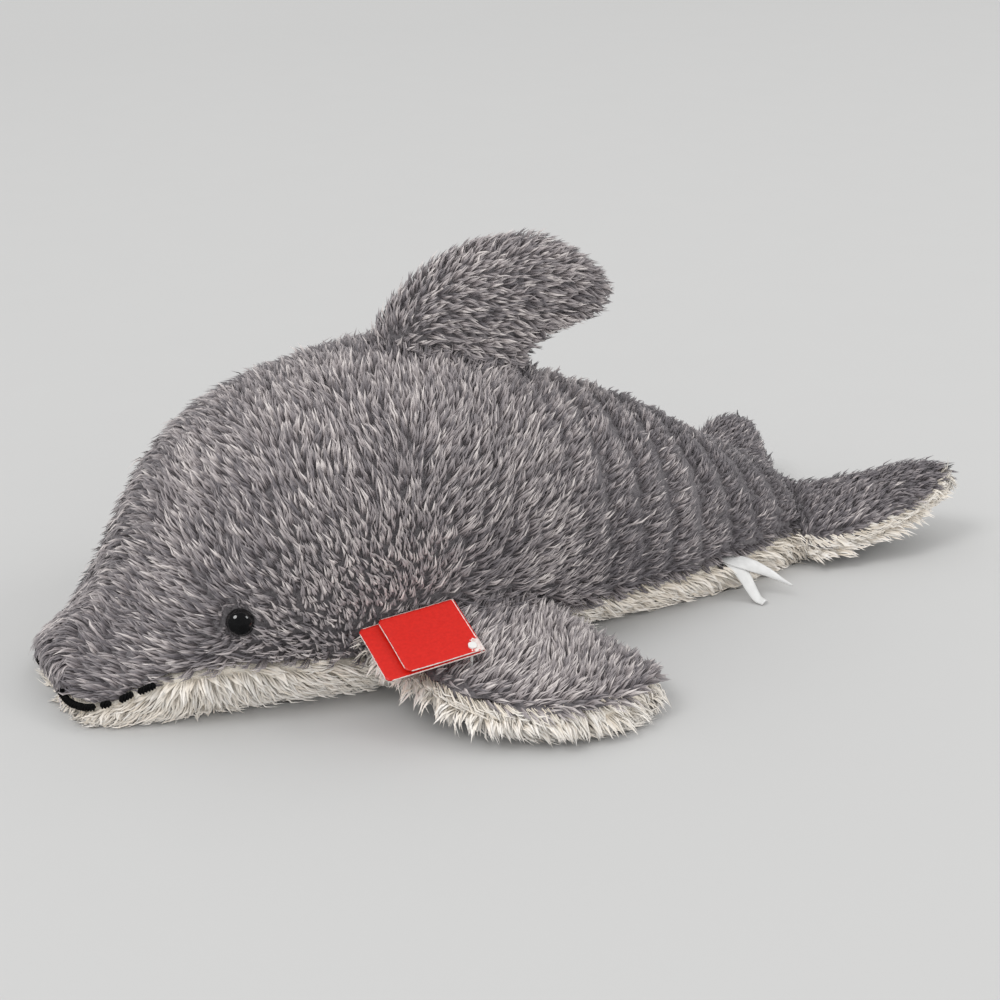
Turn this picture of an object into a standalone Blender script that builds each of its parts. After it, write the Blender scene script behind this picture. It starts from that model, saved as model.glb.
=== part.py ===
"""Large floppy plush dolphin, lying on its belly.

Frame: metres, +Z up, nose toward -X, the dolphin's left side toward -Y.
The origin is on the floor, under the middle of the whole toy's box.
While it is being modelled, X is the distance back from the nose tip,
and the last step moves every piece to the origin above.

The toy is sewn from long pile plush and stuffed. A grey panel covers the back
and a white one the belly, and both meet at a seam low on the sides. The fins
are sewn from two panels each. Every furry solid here has the outer form of its
stuffed skin with the pile on it. The trim is modelled piece by piece: locking
eyes with their washers, the yarn of the mouth, the folded card tag on its snap
pin, and two ribbon labels caught in the seam.
"""

import math

import bmesh
import bpy
import numpy as np
from mathutils import Matrix, Vector
from mathutils.bvhtree import BVHTree

# Clearances between pieces that touch, and the steps in which a piece is lowered to one
SEAM_GAP = 0.0003
SEAT_GAP = 0.0004
MOST_LOWERINGS = 60
SEATED_SHARE = 0.05

# Body: its length, width and height. The stations are shares of them: distance back from the
# nose, half width, height of the ridge, height of the seam, half width of the patch that lies
# on the floor, and last the slimness of the upper section, which is 1 for an ellipse and more
# where the shoulders fall away.
BODY_LENGTH = 0.549
BODY_WIDTH = 0.226
BODY_HEIGHT = 0.192
BODY_STATIONS = [
    (0.0000, 0.4867, 0.1927, 0.0521, 0.4336, 1.35),
    (0.0546, 0.5752, 0.2656, 0.1094, 0.4956, 1.35),
    (0.1002, 0.6903, 0.4323, 0.1771, 0.5310, 1.25),
    (0.1548, 0.8142, 0.6927, 0.2031, 0.5664, 1.05),
    (0.2186, 0.9115, 0.8490, 0.1875, 0.6195, 0.95),
    (0.3097, 0.9823, 0.9479, 0.1562, 0.7434, 0.92),
    (0.4281, 1.0000, 1.0000, 0.1406, 0.7434, 0.92),
    (0.5464, 0.9558, 0.9167, 0.1302, 0.6195, 0.92),
    (0.6557, 0.8673, 0.7969, 0.1250, 0.6106, 0.92),
    (0.7650, 0.7699, 0.6615, 0.1250, 0.6460, 0.92),
    (0.8652, 0.6726, 0.5000, 0.1250, 0.6195, 0.92),
    (0.9381, 0.5752, 0.3802, 0.1302, 0.5310, 0.92),
    (1.0000, 0.4425, 0.2969, 0.1302, 0.3982, 0.92),
]
NOSE_ROUNDING = 0.024
NOSE_BLUNTNESS = 2.5
NOSE_HEIGHT = 0.026
TAIL_ROUNDING = 0.022
TAIL_BLUNTNESS = 2.0
TAIL_HEIGHT = 0.029
WIDEST_SHARE = 0.40
BELLY_SINK = 0.010
MOST_FOOT_SHARE = 0.95
RING_POINTS = 32
RING_PITCH = 0.013
END_RINGS = 5
SEAM_STEPS = 40
CUT_MARGIN = 0.05

# Search for a place on the skin at a given height, and the steps that give its slope there
HALVINGS = 40
NEAR_STEP = 0.002
NEAR_TURN = 0.02

# Folds of the slack skin behind the dorsal fin
FOLD_START = 0.325
FOLD_PITCH = 0.0272
FOLD_COUNT = 8
FOLD_DEPTH = 0.0042
FOLD_LEAN = 0.008
FOLD_LOW_SHARE = 0.35
FOLD_SHARPNESS = 0.75
FOLD_FADE = 1.5
RINGS_PER_FOLD = 4

# Dorsal fin, leading and trailing edge as (back from the nose, height)
DORSAL_EDGES = [
    ((0.200, 0.150), (0.330, 0.130)),
    ((0.226, 0.203), (0.336, 0.165)),
    ((0.254, 0.234), (0.347, 0.179)),
    ((0.292, 0.252), (0.362, 0.185)),
    ((0.334, 0.254), (0.378, 0.188)),
    ((0.372, 0.240), (0.394, 0.195)),
    ((0.402, 0.211), (0.402, 0.211)),
]
DORSAL_ROOT_HALF_THICKNESS = 0.024
DORSAL_TIP_HALF_THICKNESS = 0.014

# Flipper, front and rear edge as (back from the nose, out from the middle, height)
FLIPPER_EDGES = [
    ((0.156, 0.060, 0.060), (0.262, 0.050, 0.054)),
    ((0.164, 0.108, 0.048), (0.290, 0.086, 0.043)),
    ((0.177, 0.147, 0.033), (0.310, 0.118, 0.030)),
    ((0.200, 0.183, 0.023), (0.325, 0.150, 0.022)),
    ((0.236, 0.209, 0.021), (0.331, 0.176, 0.020)),
    ((0.276, 0.216, 0.020), (0.325, 0.195, 0.020)),
    ((0.305, 0.208, 0.020), (0.305, 0.208, 0.020)),
]
FLIPPER_ROOT_HALF_THICKNESS = 0.016
FLIPPER_TIP_HALF_THICKNESS = 0.011
FLIPPER_UNDERSIDE_FULLNESS = 1.80

# Fluke, front and rear edge from the left tip to the right tip, as (back from the nose,
# out to the left, height)
FLUKE_EDGES = [
    ((0.662, 0.070, 0.050), (0.662, 0.070, 0.050)),
    ((0.643, 0.085, 0.043), (0.654, 0.045, 0.048)),
    ((0.612, 0.090, 0.030), (0.634, 0.028, 0.042)),
    ((0.572, 0.088, 0.020), (0.606, 0.014, 0.035)),
    ((0.531, 0.074, 0.015), (0.582, 0.003, 0.030)),
    ((0.512, 0.000, 0.018), (0.570, -0.008, 0.028)),
    ((0.520, -0.046, 0.022), (0.578, -0.030, 0.030)),
    ((0.534, -0.078, 0.027), (0.590, -0.056, 0.034)),
    ((0.552, -0.106, 0.033), (0.602, -0.082, 0.038)),
    ((0.574, -0.121, 0.037), (0.606, -0.102, 0.041)),
    ((0.594, -0.119, 0.040), (0.594, -0.119, 0.040)),
]
FLUKE_ROOT_HALF_THICKNESS = 0.018
FLUKE_TIP_HALF_THICKNESS = 0.014

FLIPPER_STEPS = 3
FLUKE_STEPS = 2
CHORD_STEPS = 8
EDGE_ROUNDNESS = 0.42

# Locking eye, and its washer behind the cloth
EYE_BACK = 0.092
EYE_HEIGHT = 0.070
EYE_RADIUS = 0.0090
EYE_DOME_HEIGHT = 0.0075
EYE_INSET = 0.0020
FLANGE_EDGE = 0.0006
FLANGE_DEPTH = 0.0012
SHANK_RADIUS = 0.0024
SHANK_LENGTH = 0.0150
SHANK_TIP_SHARE = 0.6
DOME_STEPS = 6
WASHER_RADIUS = 0.0085
WASHER_THICKNESS = 0.0016
WASHER_DEPTH = 0.0070
TURNED_SEGMENTS = 20

# Mouth: each stitch's start and end, back from the nose along the seam
MOUTH_STITCHES = [(0.003, 0.0125), (0.016, 0.0205), (0.0245, 0.034), (0.037, 0.047)]
YARN_RADIUS = 0.0022
YARN_LIFT = 0.0010
YARN_END_SHARE = 0.45
STITCH_STEPS = 6
YARN_SIDES = 8

# Folded card tag on the left flipper's root. It lies on the tips of the pile, which stand
# above the solids by the lift, and the pin holds it.
TAG_LIFT = 0.0070
TAG_LENGTH = 0.062
TAG_COVER_LENGTH = 0.045
TAG_WIDTH = 0.046
TAG_CORNER_RADIUS = 0.004
CORNER_STEPS = 5
CARD_THICKNESS = 0.0007
TAG_LEAF_GAP = 0.0012
CARD_BEND_STEPS = 6
CARD_OVERLAP = 0.0002
TAG_FOLD_BACK = 0.218
TAG_FOLD_OUT = 0.1414
TAG_DROP_HEIGHT = 0.110
TAG_TURN = math.radians(-4.0)
TAG_ROLL = math.radians(-6.0)
TAG_PITCH = math.radians(19.0)
TAG_HOLE_RADIUS = 0.0016
TAG_HOLE_INSET = 0.0050

# Snap pin that holds the tag
PIN_HEAD_RADIUS = 0.0026
PIN_HEAD_THICKNESS = 0.0010
PIN_SHAFT_RADIUS = 0.0009
PIN_BARB_RADIUS = 0.0016
PIN_BARB_LENGTH = 0.0030
PIN_DEPTH = 0.0080

# Ribbon labels caught in the left seam near the tail
LABEL_BACK = 0.459
LABEL_WIDTH = 0.013
LABEL_THICKNESS = 0.0006
LABEL_TUCK = 0.0070
UPPER_LABEL_REACH = 0.035
UPPER_LABEL_HEADING = math.radians(-42.0)
UPPER_LABEL_DROP = 0.012
UPPER_LABEL_TWIST = math.radians(50.0)
LOWER_LABEL_REACH = 0.024
LOWER_LABEL_HEADING = math.radians(-71.0)
LOWER_LABEL_TWIST = math.radians(12.0)
LABEL_SAG_POWER = 1.6
LABEL_STEPS = 8

# Colours, as linear red, green and blue
GREY_PLUSH = (0.20, 0.19, 0.20)
WHITE_PLUSH = (0.60, 0.57, 0.52)
BLACK_PLASTIC = (0.008, 0.008, 0.009)
WASHER_PLASTIC = (0.75, 0.75, 0.74)
BLACK_YARN = (0.012, 0.012, 0.013)
RED_CARD = (0.62, 0.018, 0.012)
CLEAR_NYLON = (0.80, 0.80, 0.78)
WHITE_SATIN = (0.78, 0.78, 0.76)

# Finishes
PLUSH_ROUGHNESS = 0.95
YARN_ROUGHNESS = 0.85
TRIM_ROUGHNESS = 0.45
EYE_ROUGHNESS = 0.12
SHARP_ANGLE = math.radians(50)


def monotone_curve(knots, values, at):
    """Values at the given places on a cubic through the knots that never overshoots them."""
    knots = np.asarray(knots)
    values = np.asarray(values)
    steps = np.diff(knots)
    rises = np.diff(values) / steps
    slopes = np.empty_like(values)
    slopes[0] = rises[0]
    slopes[-1] = rises[-1]
    for i in range(1, len(knots) - 1):
        before = rises[i - 1]
        after = rises[i]
        slopes[i] = 0.0 if before * after <= 0 else 2 * before * after / (before + after)
    span = np.clip(np.searchsorted(knots, at) - 1, 0, len(steps) - 1)
    width = steps[span]
    t = np.clip((at - knots[span]) / width, 0, 1)
    start = (1 + 2 * t) * (1 - t) ** 2 * values[span] + t * (1 - t) ** 2 * width * slopes[span]
    end = t * t * (3 - 2 * t) * values[span + 1] + t * t * (t - 1) * width * slopes[span + 1]
    return start + end


def through_points(points, steps_per_span):
    """Smooth curve through all the points, with the given number of steps between two of them."""
    points = np.asarray(points, float)
    ends = np.vstack([2 * points[0] - points[1], points, 2 * points[-1] - points[-2]])
    curve = []
    for i in range(1, len(ends) - 2):
        before, start, end, after = ends[i - 1:i + 3]
        for step in range(steps_per_span):
            t = step / steps_per_span
            curve.append(0.5 * (2 * start + (end - before) * t
                                + (2 * before - 5 * start + 4 * end - after) * t * t
                                + (3 * start - before - 3 * end + after) * t ** 3))
    curve.append(points[-1])
    return np.array(curve)


def station_values(back, column):
    """One column of the body's stations at a distance back from the nose."""
    rows = np.array(BODY_STATIONS)
    place = np.array([back / BODY_LENGTH])
    return float(monotone_curve(rows[:, 0], rows[:, column], place)[0])


def seam_height(back):
    """Height of the seam between back and belly."""
    return BODY_HEIGHT * station_values(back, 3)


def fold_inset(back, turn):
    """How far the skin sinks between two folds, at a place along and around the body."""
    place = (back - FOLD_START + FOLD_LEAN * math.cos(turn)) / FOLD_PITCH
    if place < -0.5 or place > FOLD_COUNT - 0.5:
        return 0.0
    fade = min(1.0, (place + 0.5) / FOLD_FADE, FOLD_COUNT - 0.5 - place)
    height_share = FOLD_LOW_SHARE + (1 - FOLD_LOW_SHARE) * max(0.0, math.sin(turn))
    crest = abs(math.sin(math.pi * place)) ** FOLD_SHARPNESS
    return FOLD_DEPTH * fade * height_share * (1 - crest)


def rounding(distance, radius, bluntness):
    """Share of the section that is left at a distance from the end that it rounds off to."""
    if distance >= radius:
        return 1.0
    return (1 - (1 - max(distance, 0.0) / radius) ** bluntness) ** (1 / bluntness)


def end_rounding(back):
    """Share of the section that is left where the nose or the tail rounds off, and its centre."""
    if back < BODY_LENGTH / 2:
        return rounding(back, NOSE_ROUNDING, NOSE_BLUNTNESS), NOSE_HEIGHT
    return rounding(BODY_LENGTH - back, TAIL_ROUNDING, TAIL_BLUNTNESS), TAIL_HEIGHT


def body_point(back, turn):
    """Point of the body's skin. Turn 0 is the left side's widest point and a quarter turn the ridge."""
    half_width = BODY_WIDTH / 2 * station_values(back, 1)
    ridge = BODY_HEIGHT * station_values(back, 2)
    widest = WIDEST_SHARE * ridge
    side = math.cos(turn)
    rise = math.sin(turn)
    if rise >= 0:
        slimness = station_values(back, 5)
        height = widest + (ridge - widest) * rise ** slimness
    else:
        height = widest + (widest + BELLY_SINK) * rise
        landing = math.asin(widest / (widest + BELLY_SINK))
        foot_share = min(MOST_FOOT_SHARE, station_values(back, 4) / station_values(back, 1))
        slimness = math.log(foot_share) / math.log(math.cos(landing))
    out = half_width * math.copysign(abs(side) ** slimness, side)
    inset = fold_inset(back, turn)
    reach = math.hypot(out, height - widest)
    shrink = 1 - inset / reach
    out *= shrink
    height = widest + (height - widest) * shrink
    share, centre = end_rounding(back)
    out *= share
    height = max(0.0, centre + (height - centre) * share)
    return Vector((back, -out, height))


def body_places():
    """Distances back from the nose at which the body has a ring."""
    quarter = [math.pi / 2 * i / END_RINGS for i in range(1, END_RINGS + 1)]
    nose = [NOSE_ROUNDING * (1 - math.cos(angle)) for angle in quarter]
    tail = [BODY_LENGTH - TAIL_ROUNDING * (1 - math.cos(angle)) for angle in reversed(quarter)]
    folds_start = FOLD_START - FOLD_PITCH / 2
    folds_end = min(FOLD_START + FOLD_PITCH * (FOLD_COUNT - 0.5), tail[0] - RING_PITCH / 3)
    front = max(2, round((folds_start - nose[-1]) / RING_PITCH))
    places = nose + list(np.linspace(nose[-1], folds_start, front + 1)[1:])
    fold_rings = max(2, round((folds_end - folds_start) / FOLD_PITCH * RINGS_PER_FOLD))
    places += list(np.linspace(folds_start, folds_end, fold_rings + 1)[1:])
    rear = max(1, round((tail[0] - folds_end) / RING_PITCH))
    places += list(np.linspace(folds_end, tail[0], rear + 1)[1:])
    return places + tail[1:]


def mesh_object(name, bm):
    """New object with the bmesh's faces, pointing outwards."""
    bmesh.ops.recalc_face_normals(bm, faces=bm.faces)
    mesh = bpy.data.meshes.new(name)
    bm.to_mesh(mesh)
    bm.free()
    piece = bpy.data.objects.new(name, mesh)
    bpy.context.scene.collection.objects.link(piece)
    return piece


def loft(name, rings, start_pole=None, end_pole=None):
    """Closed skin over rings of as many points, ending in a pole or a flat cap at each end."""
    bm = bmesh.new()
    loops = [[bm.verts.new(point) for point in ring] for ring in rings]
    for near, far in zip(loops, loops[1:]):
        for i in range(len(near)):
            j = (i + 1) % len(near)
            bm.faces.new((near[i], near[j], far[j], far[i]))
    for loop, pole in ((loops[0], start_pole), (loops[-1], end_pole)):
        if pole is None:
            bm.faces.new(loop)
            continue
        tip = bm.verts.new(pole)
        for i in range(len(loop)):
            bm.faces.new((loop[i], loop[(i + 1) % len(loop)], tip))
    return mesh_object(name, bm)


def body_solid(name):
    """The whole stuffed body as one closed solid."""
    turns = [2 * math.pi * i / RING_POINTS for i in range(RING_POINTS)]
    rings = [[body_point(back, turn) for turn in turns] for back in body_places()]
    nose = Vector((0.0, 0.0, NOSE_HEIGHT))
    tail = Vector((BODY_LENGTH, 0.0, TAIL_HEIGHT))
    return loft(name, rings, nose, tail)


def seam_side(name, above):
    """Cutter that holds everything above or below the seam, less half of the seam's gap."""
    reach = BODY_WIDTH / 2 + CUT_MARGIN
    top = BODY_HEIGHT + CUT_MARGIN
    limit = top if above else -CUT_MARGIN
    offset = SEAM_GAP / 2 if above else -SEAM_GAP / 2
    inner = list(np.linspace(0, BODY_LENGTH, SEAM_STEPS))
    places = [-CUT_MARGIN] + inner + [BODY_LENGTH + CUT_MARGIN]
    edge = [(x, seam_height(min(max(x, 0.0), BODY_LENGTH)) + offset) for x in places]
    outline = edge + [(places[-1], limit), (places[0], limit)]
    bm = bmesh.new()
    face = bm.faces.new([bm.verts.new((x, -reach, z)) for x, z in outline])
    extruded = bmesh.ops.extrude_face_region(bm, geom=[face])["geom"]
    moved = [item for item in extruded if isinstance(item, bmesh.types.BMVert)]
    bmesh.ops.translate(bm, verts=moved, vec=(0, 2 * reach, 0))
    return mesh_object(name, bm)


def cut(piece, cutter, operation="DIFFERENCE", keep_cutter=False):
    """Apply an exact Boolean to the piece, and drop the cutter unless it is used again."""
    cutter.hide_render = True
    cutter.display_type = "WIRE"
    modifier = piece.modifiers.new("cut", "BOOLEAN")
    modifier.operation = operation
    modifier.object = cutter
    modifier.solver = "EXACT"
    graph = bpy.context.evaluated_depsgraph_get()
    result = bpy.data.meshes.new_from_object(piece.evaluated_get(graph))
    piece.modifiers.clear()
    old = piece.data
    piece.data = result
    bpy.data.meshes.remove(old)
    if not keep_cutter:
        bpy.data.objects.remove(cutter)


def grown_copy(piece, margin):
    """Copy of a solid whose skin lies further out by the margin."""
    bm = bmesh.new()
    bm.from_mesh(piece.data)
    bm.normal_update()
    moves = [vert.normal * margin for vert in bm.verts]
    for vert, move in zip(bm.verts, moves):
        vert.co += move
    return mesh_object(piece.name + "_grown", bm)


def thickness_along(fractions, root, tip):
    """Half thickness from root to tip, rounding off at the tip."""
    tapered = root + (tip - root) * fractions
    return tapered * np.sqrt(np.maximum(0.0, 1 - fractions ** 5))


def blade_rings(leading, trailing, half_thickness, side):
    """Sections of a fin. Side 0 gives both faces, 1 only the upper and -1 only the lower half."""
    shares = np.linspace(0, 1, CHORD_STEPS + 1)
    profile = np.sin(math.pi * shares) ** EDGE_ROUNDNESS
    profile[0] = profile[-1] = 0.0
    middles = (leading + trailing) / 2
    spans = np.gradient(middles, axis=0)
    rings = []
    for front, rear, span, thick in zip(leading, trailing, spans, half_thickness):
        chord = rear - front
        normal = np.cross(chord, span)
        normal /= np.linalg.norm(normal)
        middle = front + shares[:, None] * chord
        upper = middle + normal * (profile * thick)[:, None]
        lower = middle - normal * (profile * thick)[:, None]
        parting = normal * SEAM_GAP / 2
        if side > 0:
            ring = np.vstack([upper + parting, middle[-2:0:-1] + parting])
        elif side < 0:
            ring = np.vstack([lower - parting, middle[-2:0:-1] - parting])
        else:
            ring = np.vstack([upper, lower[-2:0:-1]])
        ring[:, 2] = np.maximum(ring[:, 2], 0.0)
        rings.append([Vector(point) for point in ring])
    return rings


def dorsal_solid():
    """Upright fin on the ridge, its two faces sewn round a full edge."""
    leading = through_points([(x, 0, z) for (x, z), _ in DORSAL_EDGES], FLIPPER_STEPS)
    trailing = through_points([(x, 0, z) for _, (x, z) in DORSAL_EDGES], FLIPPER_STEPS)
    fractions = np.linspace(0, 1, len(leading))
    thick = thickness_along(fractions, DORSAL_ROOT_HALF_THICKNESS, DORSAL_TIP_HALF_THICKNESS)
    rings = blade_rings(leading[:-1], trailing[:-1], thick[:-1], 0)
    return loft("dorsal_fin", rings, None, Vector(leading[-1]))


def flipper_half(name, sign, half):
    """Upper or lower panel of a flipper. The left one has sign -1."""
    leading = through_points([(x, sign * y, z) for (x, y, z), _ in FLIPPER_EDGES], FLIPPER_STEPS)
    trailing = through_points([(x, sign * y, z) for _, (x, y, z) in FLIPPER_EDGES], FLIPPER_STEPS)
    fractions = np.linspace(0, 1, len(leading))
    thick = thickness_along(fractions, FLIPPER_ROOT_HALF_THICKNESS, FLIPPER_TIP_HALF_THICKNESS)
    if half < 0:
        thick = thick * FLIPPER_UNDERSIDE_FULLNESS
    rings = blade_rings(leading[:-1], trailing[:-1], thick[:-1], half * sign)
    tip = Vector(leading[-1]) + Vector((0, 0, half * SEAM_GAP / 2))
    return loft(name, rings, None, tip)


def fluke_half(name, half):
    """Upper or lower panel of the whole fluke, from its left tip to its right tip."""
    leading = through_points([(x, -y, z) for (x, y, z), _ in FLUKE_EDGES], FLUKE_STEPS)
    trailing = through_points([(x, -y, z) for _, (x, y, z) in FLUKE_EDGES], FLUKE_STEPS)
    outward = np.abs(np.linspace(-1, 1, len(leading)))
    thick = thickness_along(outward, FLUKE_ROOT_HALF_THICKNESS, FLUKE_TIP_HALF_THICKNESS)
    rings = blade_rings(leading[1:-1], trailing[1:-1], thick[1:-1], half)
    rise = Vector((0, 0, half * SEAM_GAP / 2))
    return loft(name, rings, Vector(leading[0]) + rise, Vector(leading[-1]) + rise)


def turned(name, profile):
    """Solid turned about Z from (radius, height) points that start and end on the axis."""
    bm = bmesh.new()
    points = [bm.verts.new((radius, 0, height)) for radius, height in profile]
    edges = [bm.edges.new(pair) for pair in zip(points, points[1:])]
    bmesh.ops.spin(bm, geom=points + edges, axis=(0, 0, 1), cent=(0, 0, 0),
                   steps=TURNED_SEGMENTS, angle=2 * math.pi, use_merge=True)
    bmesh.ops.remove_doubles(bm, verts=bm.verts, dist=0.00001)
    return mesh_object(name, bm)


def skin_frame(back, height, sign):
    """Matrix whose origin is on the body's skin and whose Z points straight out of it."""
    low, high = -math.pi / 2, math.pi / 2
    for _ in range(HALVINGS):
        turn = (low + high) / 2
        if body_point(back, turn).z < height:
            low = turn
        else:
            high = turn
    along = body_point(back + NEAR_STEP, turn) - body_point(back - NEAR_STEP, turn)
    around = body_point(back, turn + NEAR_TURN) - body_point(back, turn - NEAR_TURN)
    normal = along.cross(around).normalized()
    place = body_point(back, turn)
    if sign > 0:
        place.y = -place.y
        normal.y = -normal.y
    side = Vector((0, 0, 1)).cross(normal).normalized()
    up = normal.cross(side)
    frame = Matrix((side, up, normal)).transposed().to_4x4()
    frame.translation = place
    return frame


def eye_profile():
    """Dome, flange and shank of a locking eye, with height 0 at the flange's underside."""
    dome = [(0.0, EYE_DOME_HEIGHT)]
    for i in range(1, DOME_STEPS + 1):
        angle = math.pi / 2 * i / DOME_STEPS
        dome.append((EYE_RADIUS * math.sin(angle), EYE_DOME_HEIGHT * math.cos(angle)))
    tip = SHANK_RADIUS * SHANK_TIP_SHARE
    return dome + [(EYE_RADIUS, -FLANGE_EDGE), (SHANK_RADIUS, -FLANGE_DEPTH),
                   (SHANK_RADIUS, -SHANK_LENGTH + tip), (tip, -SHANK_LENGTH), (0.0, -SHANK_LENGTH)]


def washer_profile():
    """Section of the washer, pressed on the shank from inside."""
    bore = SHANK_RADIUS + SEAM_GAP
    top = -WASHER_DEPTH
    return [(bore, top), (WASHER_RADIUS, top), (WASHER_RADIUS, top - WASHER_THICKNESS),
            (bore, top - WASHER_THICKNESS), (bore, top)]


def pocket_profile():
    """Room in the head for the eye, its shank and its washer."""
    rim = EYE_RADIUS + SEAM_GAP
    hole = SHANK_RADIUS + SEAM_GAP
    room = WASHER_RADIUS + SEAM_GAP
    roof = -WASHER_DEPTH + SEAM_GAP
    floor = -WASHER_DEPTH - WASHER_THICKNESS - SEAM_GAP
    end = -SHANK_LENGTH - SEAM_GAP
    above = EYE_DOME_HEIGHT + EYE_RADIUS
    return [(0.0, above), (rim, above), (rim, -FLANGE_EDGE - SEAM_GAP), (hole, -FLANGE_DEPTH - SEAM_GAP),
            (hole, roof), (room, roof), (room, floor), (hole, floor), (hole, end), (0.0, end)]


def eye_pieces(side, sign, back_panel):
    """One locking eye with its washer, let into the head."""
    frame = skin_frame(EYE_BACK, EYE_HEIGHT, sign)
    frame = frame @ Matrix.Translation((0, 0, -EYE_INSET))
    eye = turned("eye_" + side, eye_profile())
    washer = turned("eye_washer_" + side, washer_profile())
    pocket = turned("eye_pocket_" + side, pocket_profile())
    for piece in (eye, washer, pocket):
        piece.data.transform(frame)
    cut(back_panel, pocket)
    return eye, washer


def surface_tree(pieces):
    """Search tree over the faces of several pieces."""
    points = []
    faces = []
    for piece in pieces:
        start = len(points)
        points += [vert.co.copy() for vert in piece.data.vertices]
        faces += [[start + i for i in face.vertices] for face in piece.data.polygons]
    return BVHTree.FromPolygons(points, faces)


def stitch_rings(start, end, sign, skin):
    """Sections of one yarn stitch that follows the seam and lies on the skin."""
    centres = []
    for back in np.linspace(start, end, STITCH_STEPS + 1):
        frame = skin_frame(back, seam_height(back) + YARN_LIFT, sign)
        outward = frame.col[2].to_3d()
        nearest = skin.find_nearest(frame.translation)[0]
        centres.append(nearest + outward * (YARN_RADIUS + SEAT_GAP))
    rings = []
    for i, centre in enumerate(centres):
        ahead = centres[min(i + 1, STITCH_STEPS)] - centres[max(i - 1, 0)]
        across = ahead.cross(Vector((0, 0, 1))).normalized()
        upward = across.cross(ahead).normalized()
        radius = YARN_RADIUS * (YARN_END_SHARE if i in (0, STITCH_STEPS) else 1.0)
        ring = []
        for k in range(YARN_SIDES):
            angle = 2 * math.pi * k / YARN_SIDES
            ring.append(centre + (across * math.cos(angle) + upward * math.sin(angle)) * radius)
        rings.append(ring)
    return rings


def mouth(skin):
    """All the mouth's stitches, on both sides of the snout."""
    stitches = []
    for side, sign in (("left", -1), ("right", 1)):
        for number, (start, end) in enumerate(MOUTH_STITCHES, 1):
            rings = stitch_rings(start, end, sign, skin)
            stitches.append(loft(f"mouth_stitch_{side}_{number}", rings))
    return stitches


def rounded_sheet(name, length, width, thickness, corner):
    """Flat card from the fold at X 0 to its free end, its two free corners rounded."""
    outline = [(0.0, 0.0), (0.0, width)]
    for turn, centre in ((90, (-length + corner, width - corner)), (180, (-length + corner, corner))):
        for i in range(CORNER_STEPS + 1):
            angle = math.radians(turn + 90 * i / CORNER_STEPS)
            outline.append((centre[0] + corner * math.cos(angle), centre[1] + corner * math.sin(angle)))
    bm = bmesh.new()
    face = bm.faces.new([bm.verts.new((x, y, 0)) for x, y in outline])
    extruded = bmesh.ops.extrude_face_region(bm, geom=[face])["geom"]
    moved = [item for item in extruded if isinstance(item, bmesh.types.BMVert)]
    bmesh.ops.translate(bm, verts=moved, vec=(0, 0, thickness))
    return mesh_object(name, bm)


def tag_card():
    """Folded card: the back leaf, the shorter cover above it, and the fold that joins them."""
    card = rounded_sheet("hang_tag", TAG_LENGTH, TAG_WIDTH, CARD_THICKNESS, TAG_CORNER_RADIUS)
    cover = rounded_sheet("cover", TAG_COVER_LENGTH, TAG_WIDTH, CARD_THICKNESS, TAG_CORNER_RADIUS)
    cover.data.transform(Matrix.Translation((0, 0, CARD_THICKNESS + TAG_LEAF_GAP)))
    outer = CARD_THICKNESS + TAG_LEAF_GAP / 2
    inner = TAG_LEAF_GAP / 2
    angles = [math.pi * i / CARD_BEND_STEPS - math.pi / 2 for i in range(CARD_BEND_STEPS + 1)]
    bend = [(outer * math.cos(angle) - CARD_OVERLAP, outer + outer * math.sin(angle)) for angle in angles]
    bend += [(inner * math.cos(angle) - CARD_OVERLAP, outer + inner * math.sin(angle))
             for angle in reversed(angles)]
    bm = bmesh.new()
    face = bm.faces.new([bm.verts.new((x, 0, z)) for x, z in bend])
    extruded = bmesh.ops.extrude_face_region(bm, geom=[face])["geom"]
    moved = [item for item in extruded if isinstance(item, bmesh.types.BMVert)]
    bmesh.ops.translate(bm, verts=moved, vec=(0, TAG_WIDTH, 0))
    fold = mesh_object("fold", bm)
    cut(card, fold, "UNION")
    cut(card, cover, "UNION")
    hole = turned("hole", [(0, -CUT_MARGIN), (TAG_HOLE_RADIUS, -CUT_MARGIN),
                           (TAG_HOLE_RADIUS, CUT_MARGIN), (0, CUT_MARGIN)])
    hole.data.transform(Matrix.Translation((-TAG_HOLE_INSET, TAG_HOLE_INSET, 0)))
    cut(card, hole)
    return card


def clearance(piece, tree):
    """Least distance from the piece's corners and edge middles to the tree's surface."""
    points = [vert.co for vert in piece.data.vertices]
    points += [(points[edge.vertices[0]] + points[edge.vertices[1]]) / 2 for edge in piece.data.edges]
    return min(tree.find_nearest(point)[3] for point in points)


def lower_onto(piece, carriers, gap):
    """Lower a piece that hangs above its carriers until the gap to them is the one given."""
    tree = surface_tree(carriers)
    lowered = 0.0
    for _ in range(MOST_LOWERINGS):
        room = clearance(piece, tree) - gap
        if room < gap * SEATED_SHARE:
            break
        piece.data.transform(Matrix.Translation((0, 0, -room)))
        lowered += room
    return lowered


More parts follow.
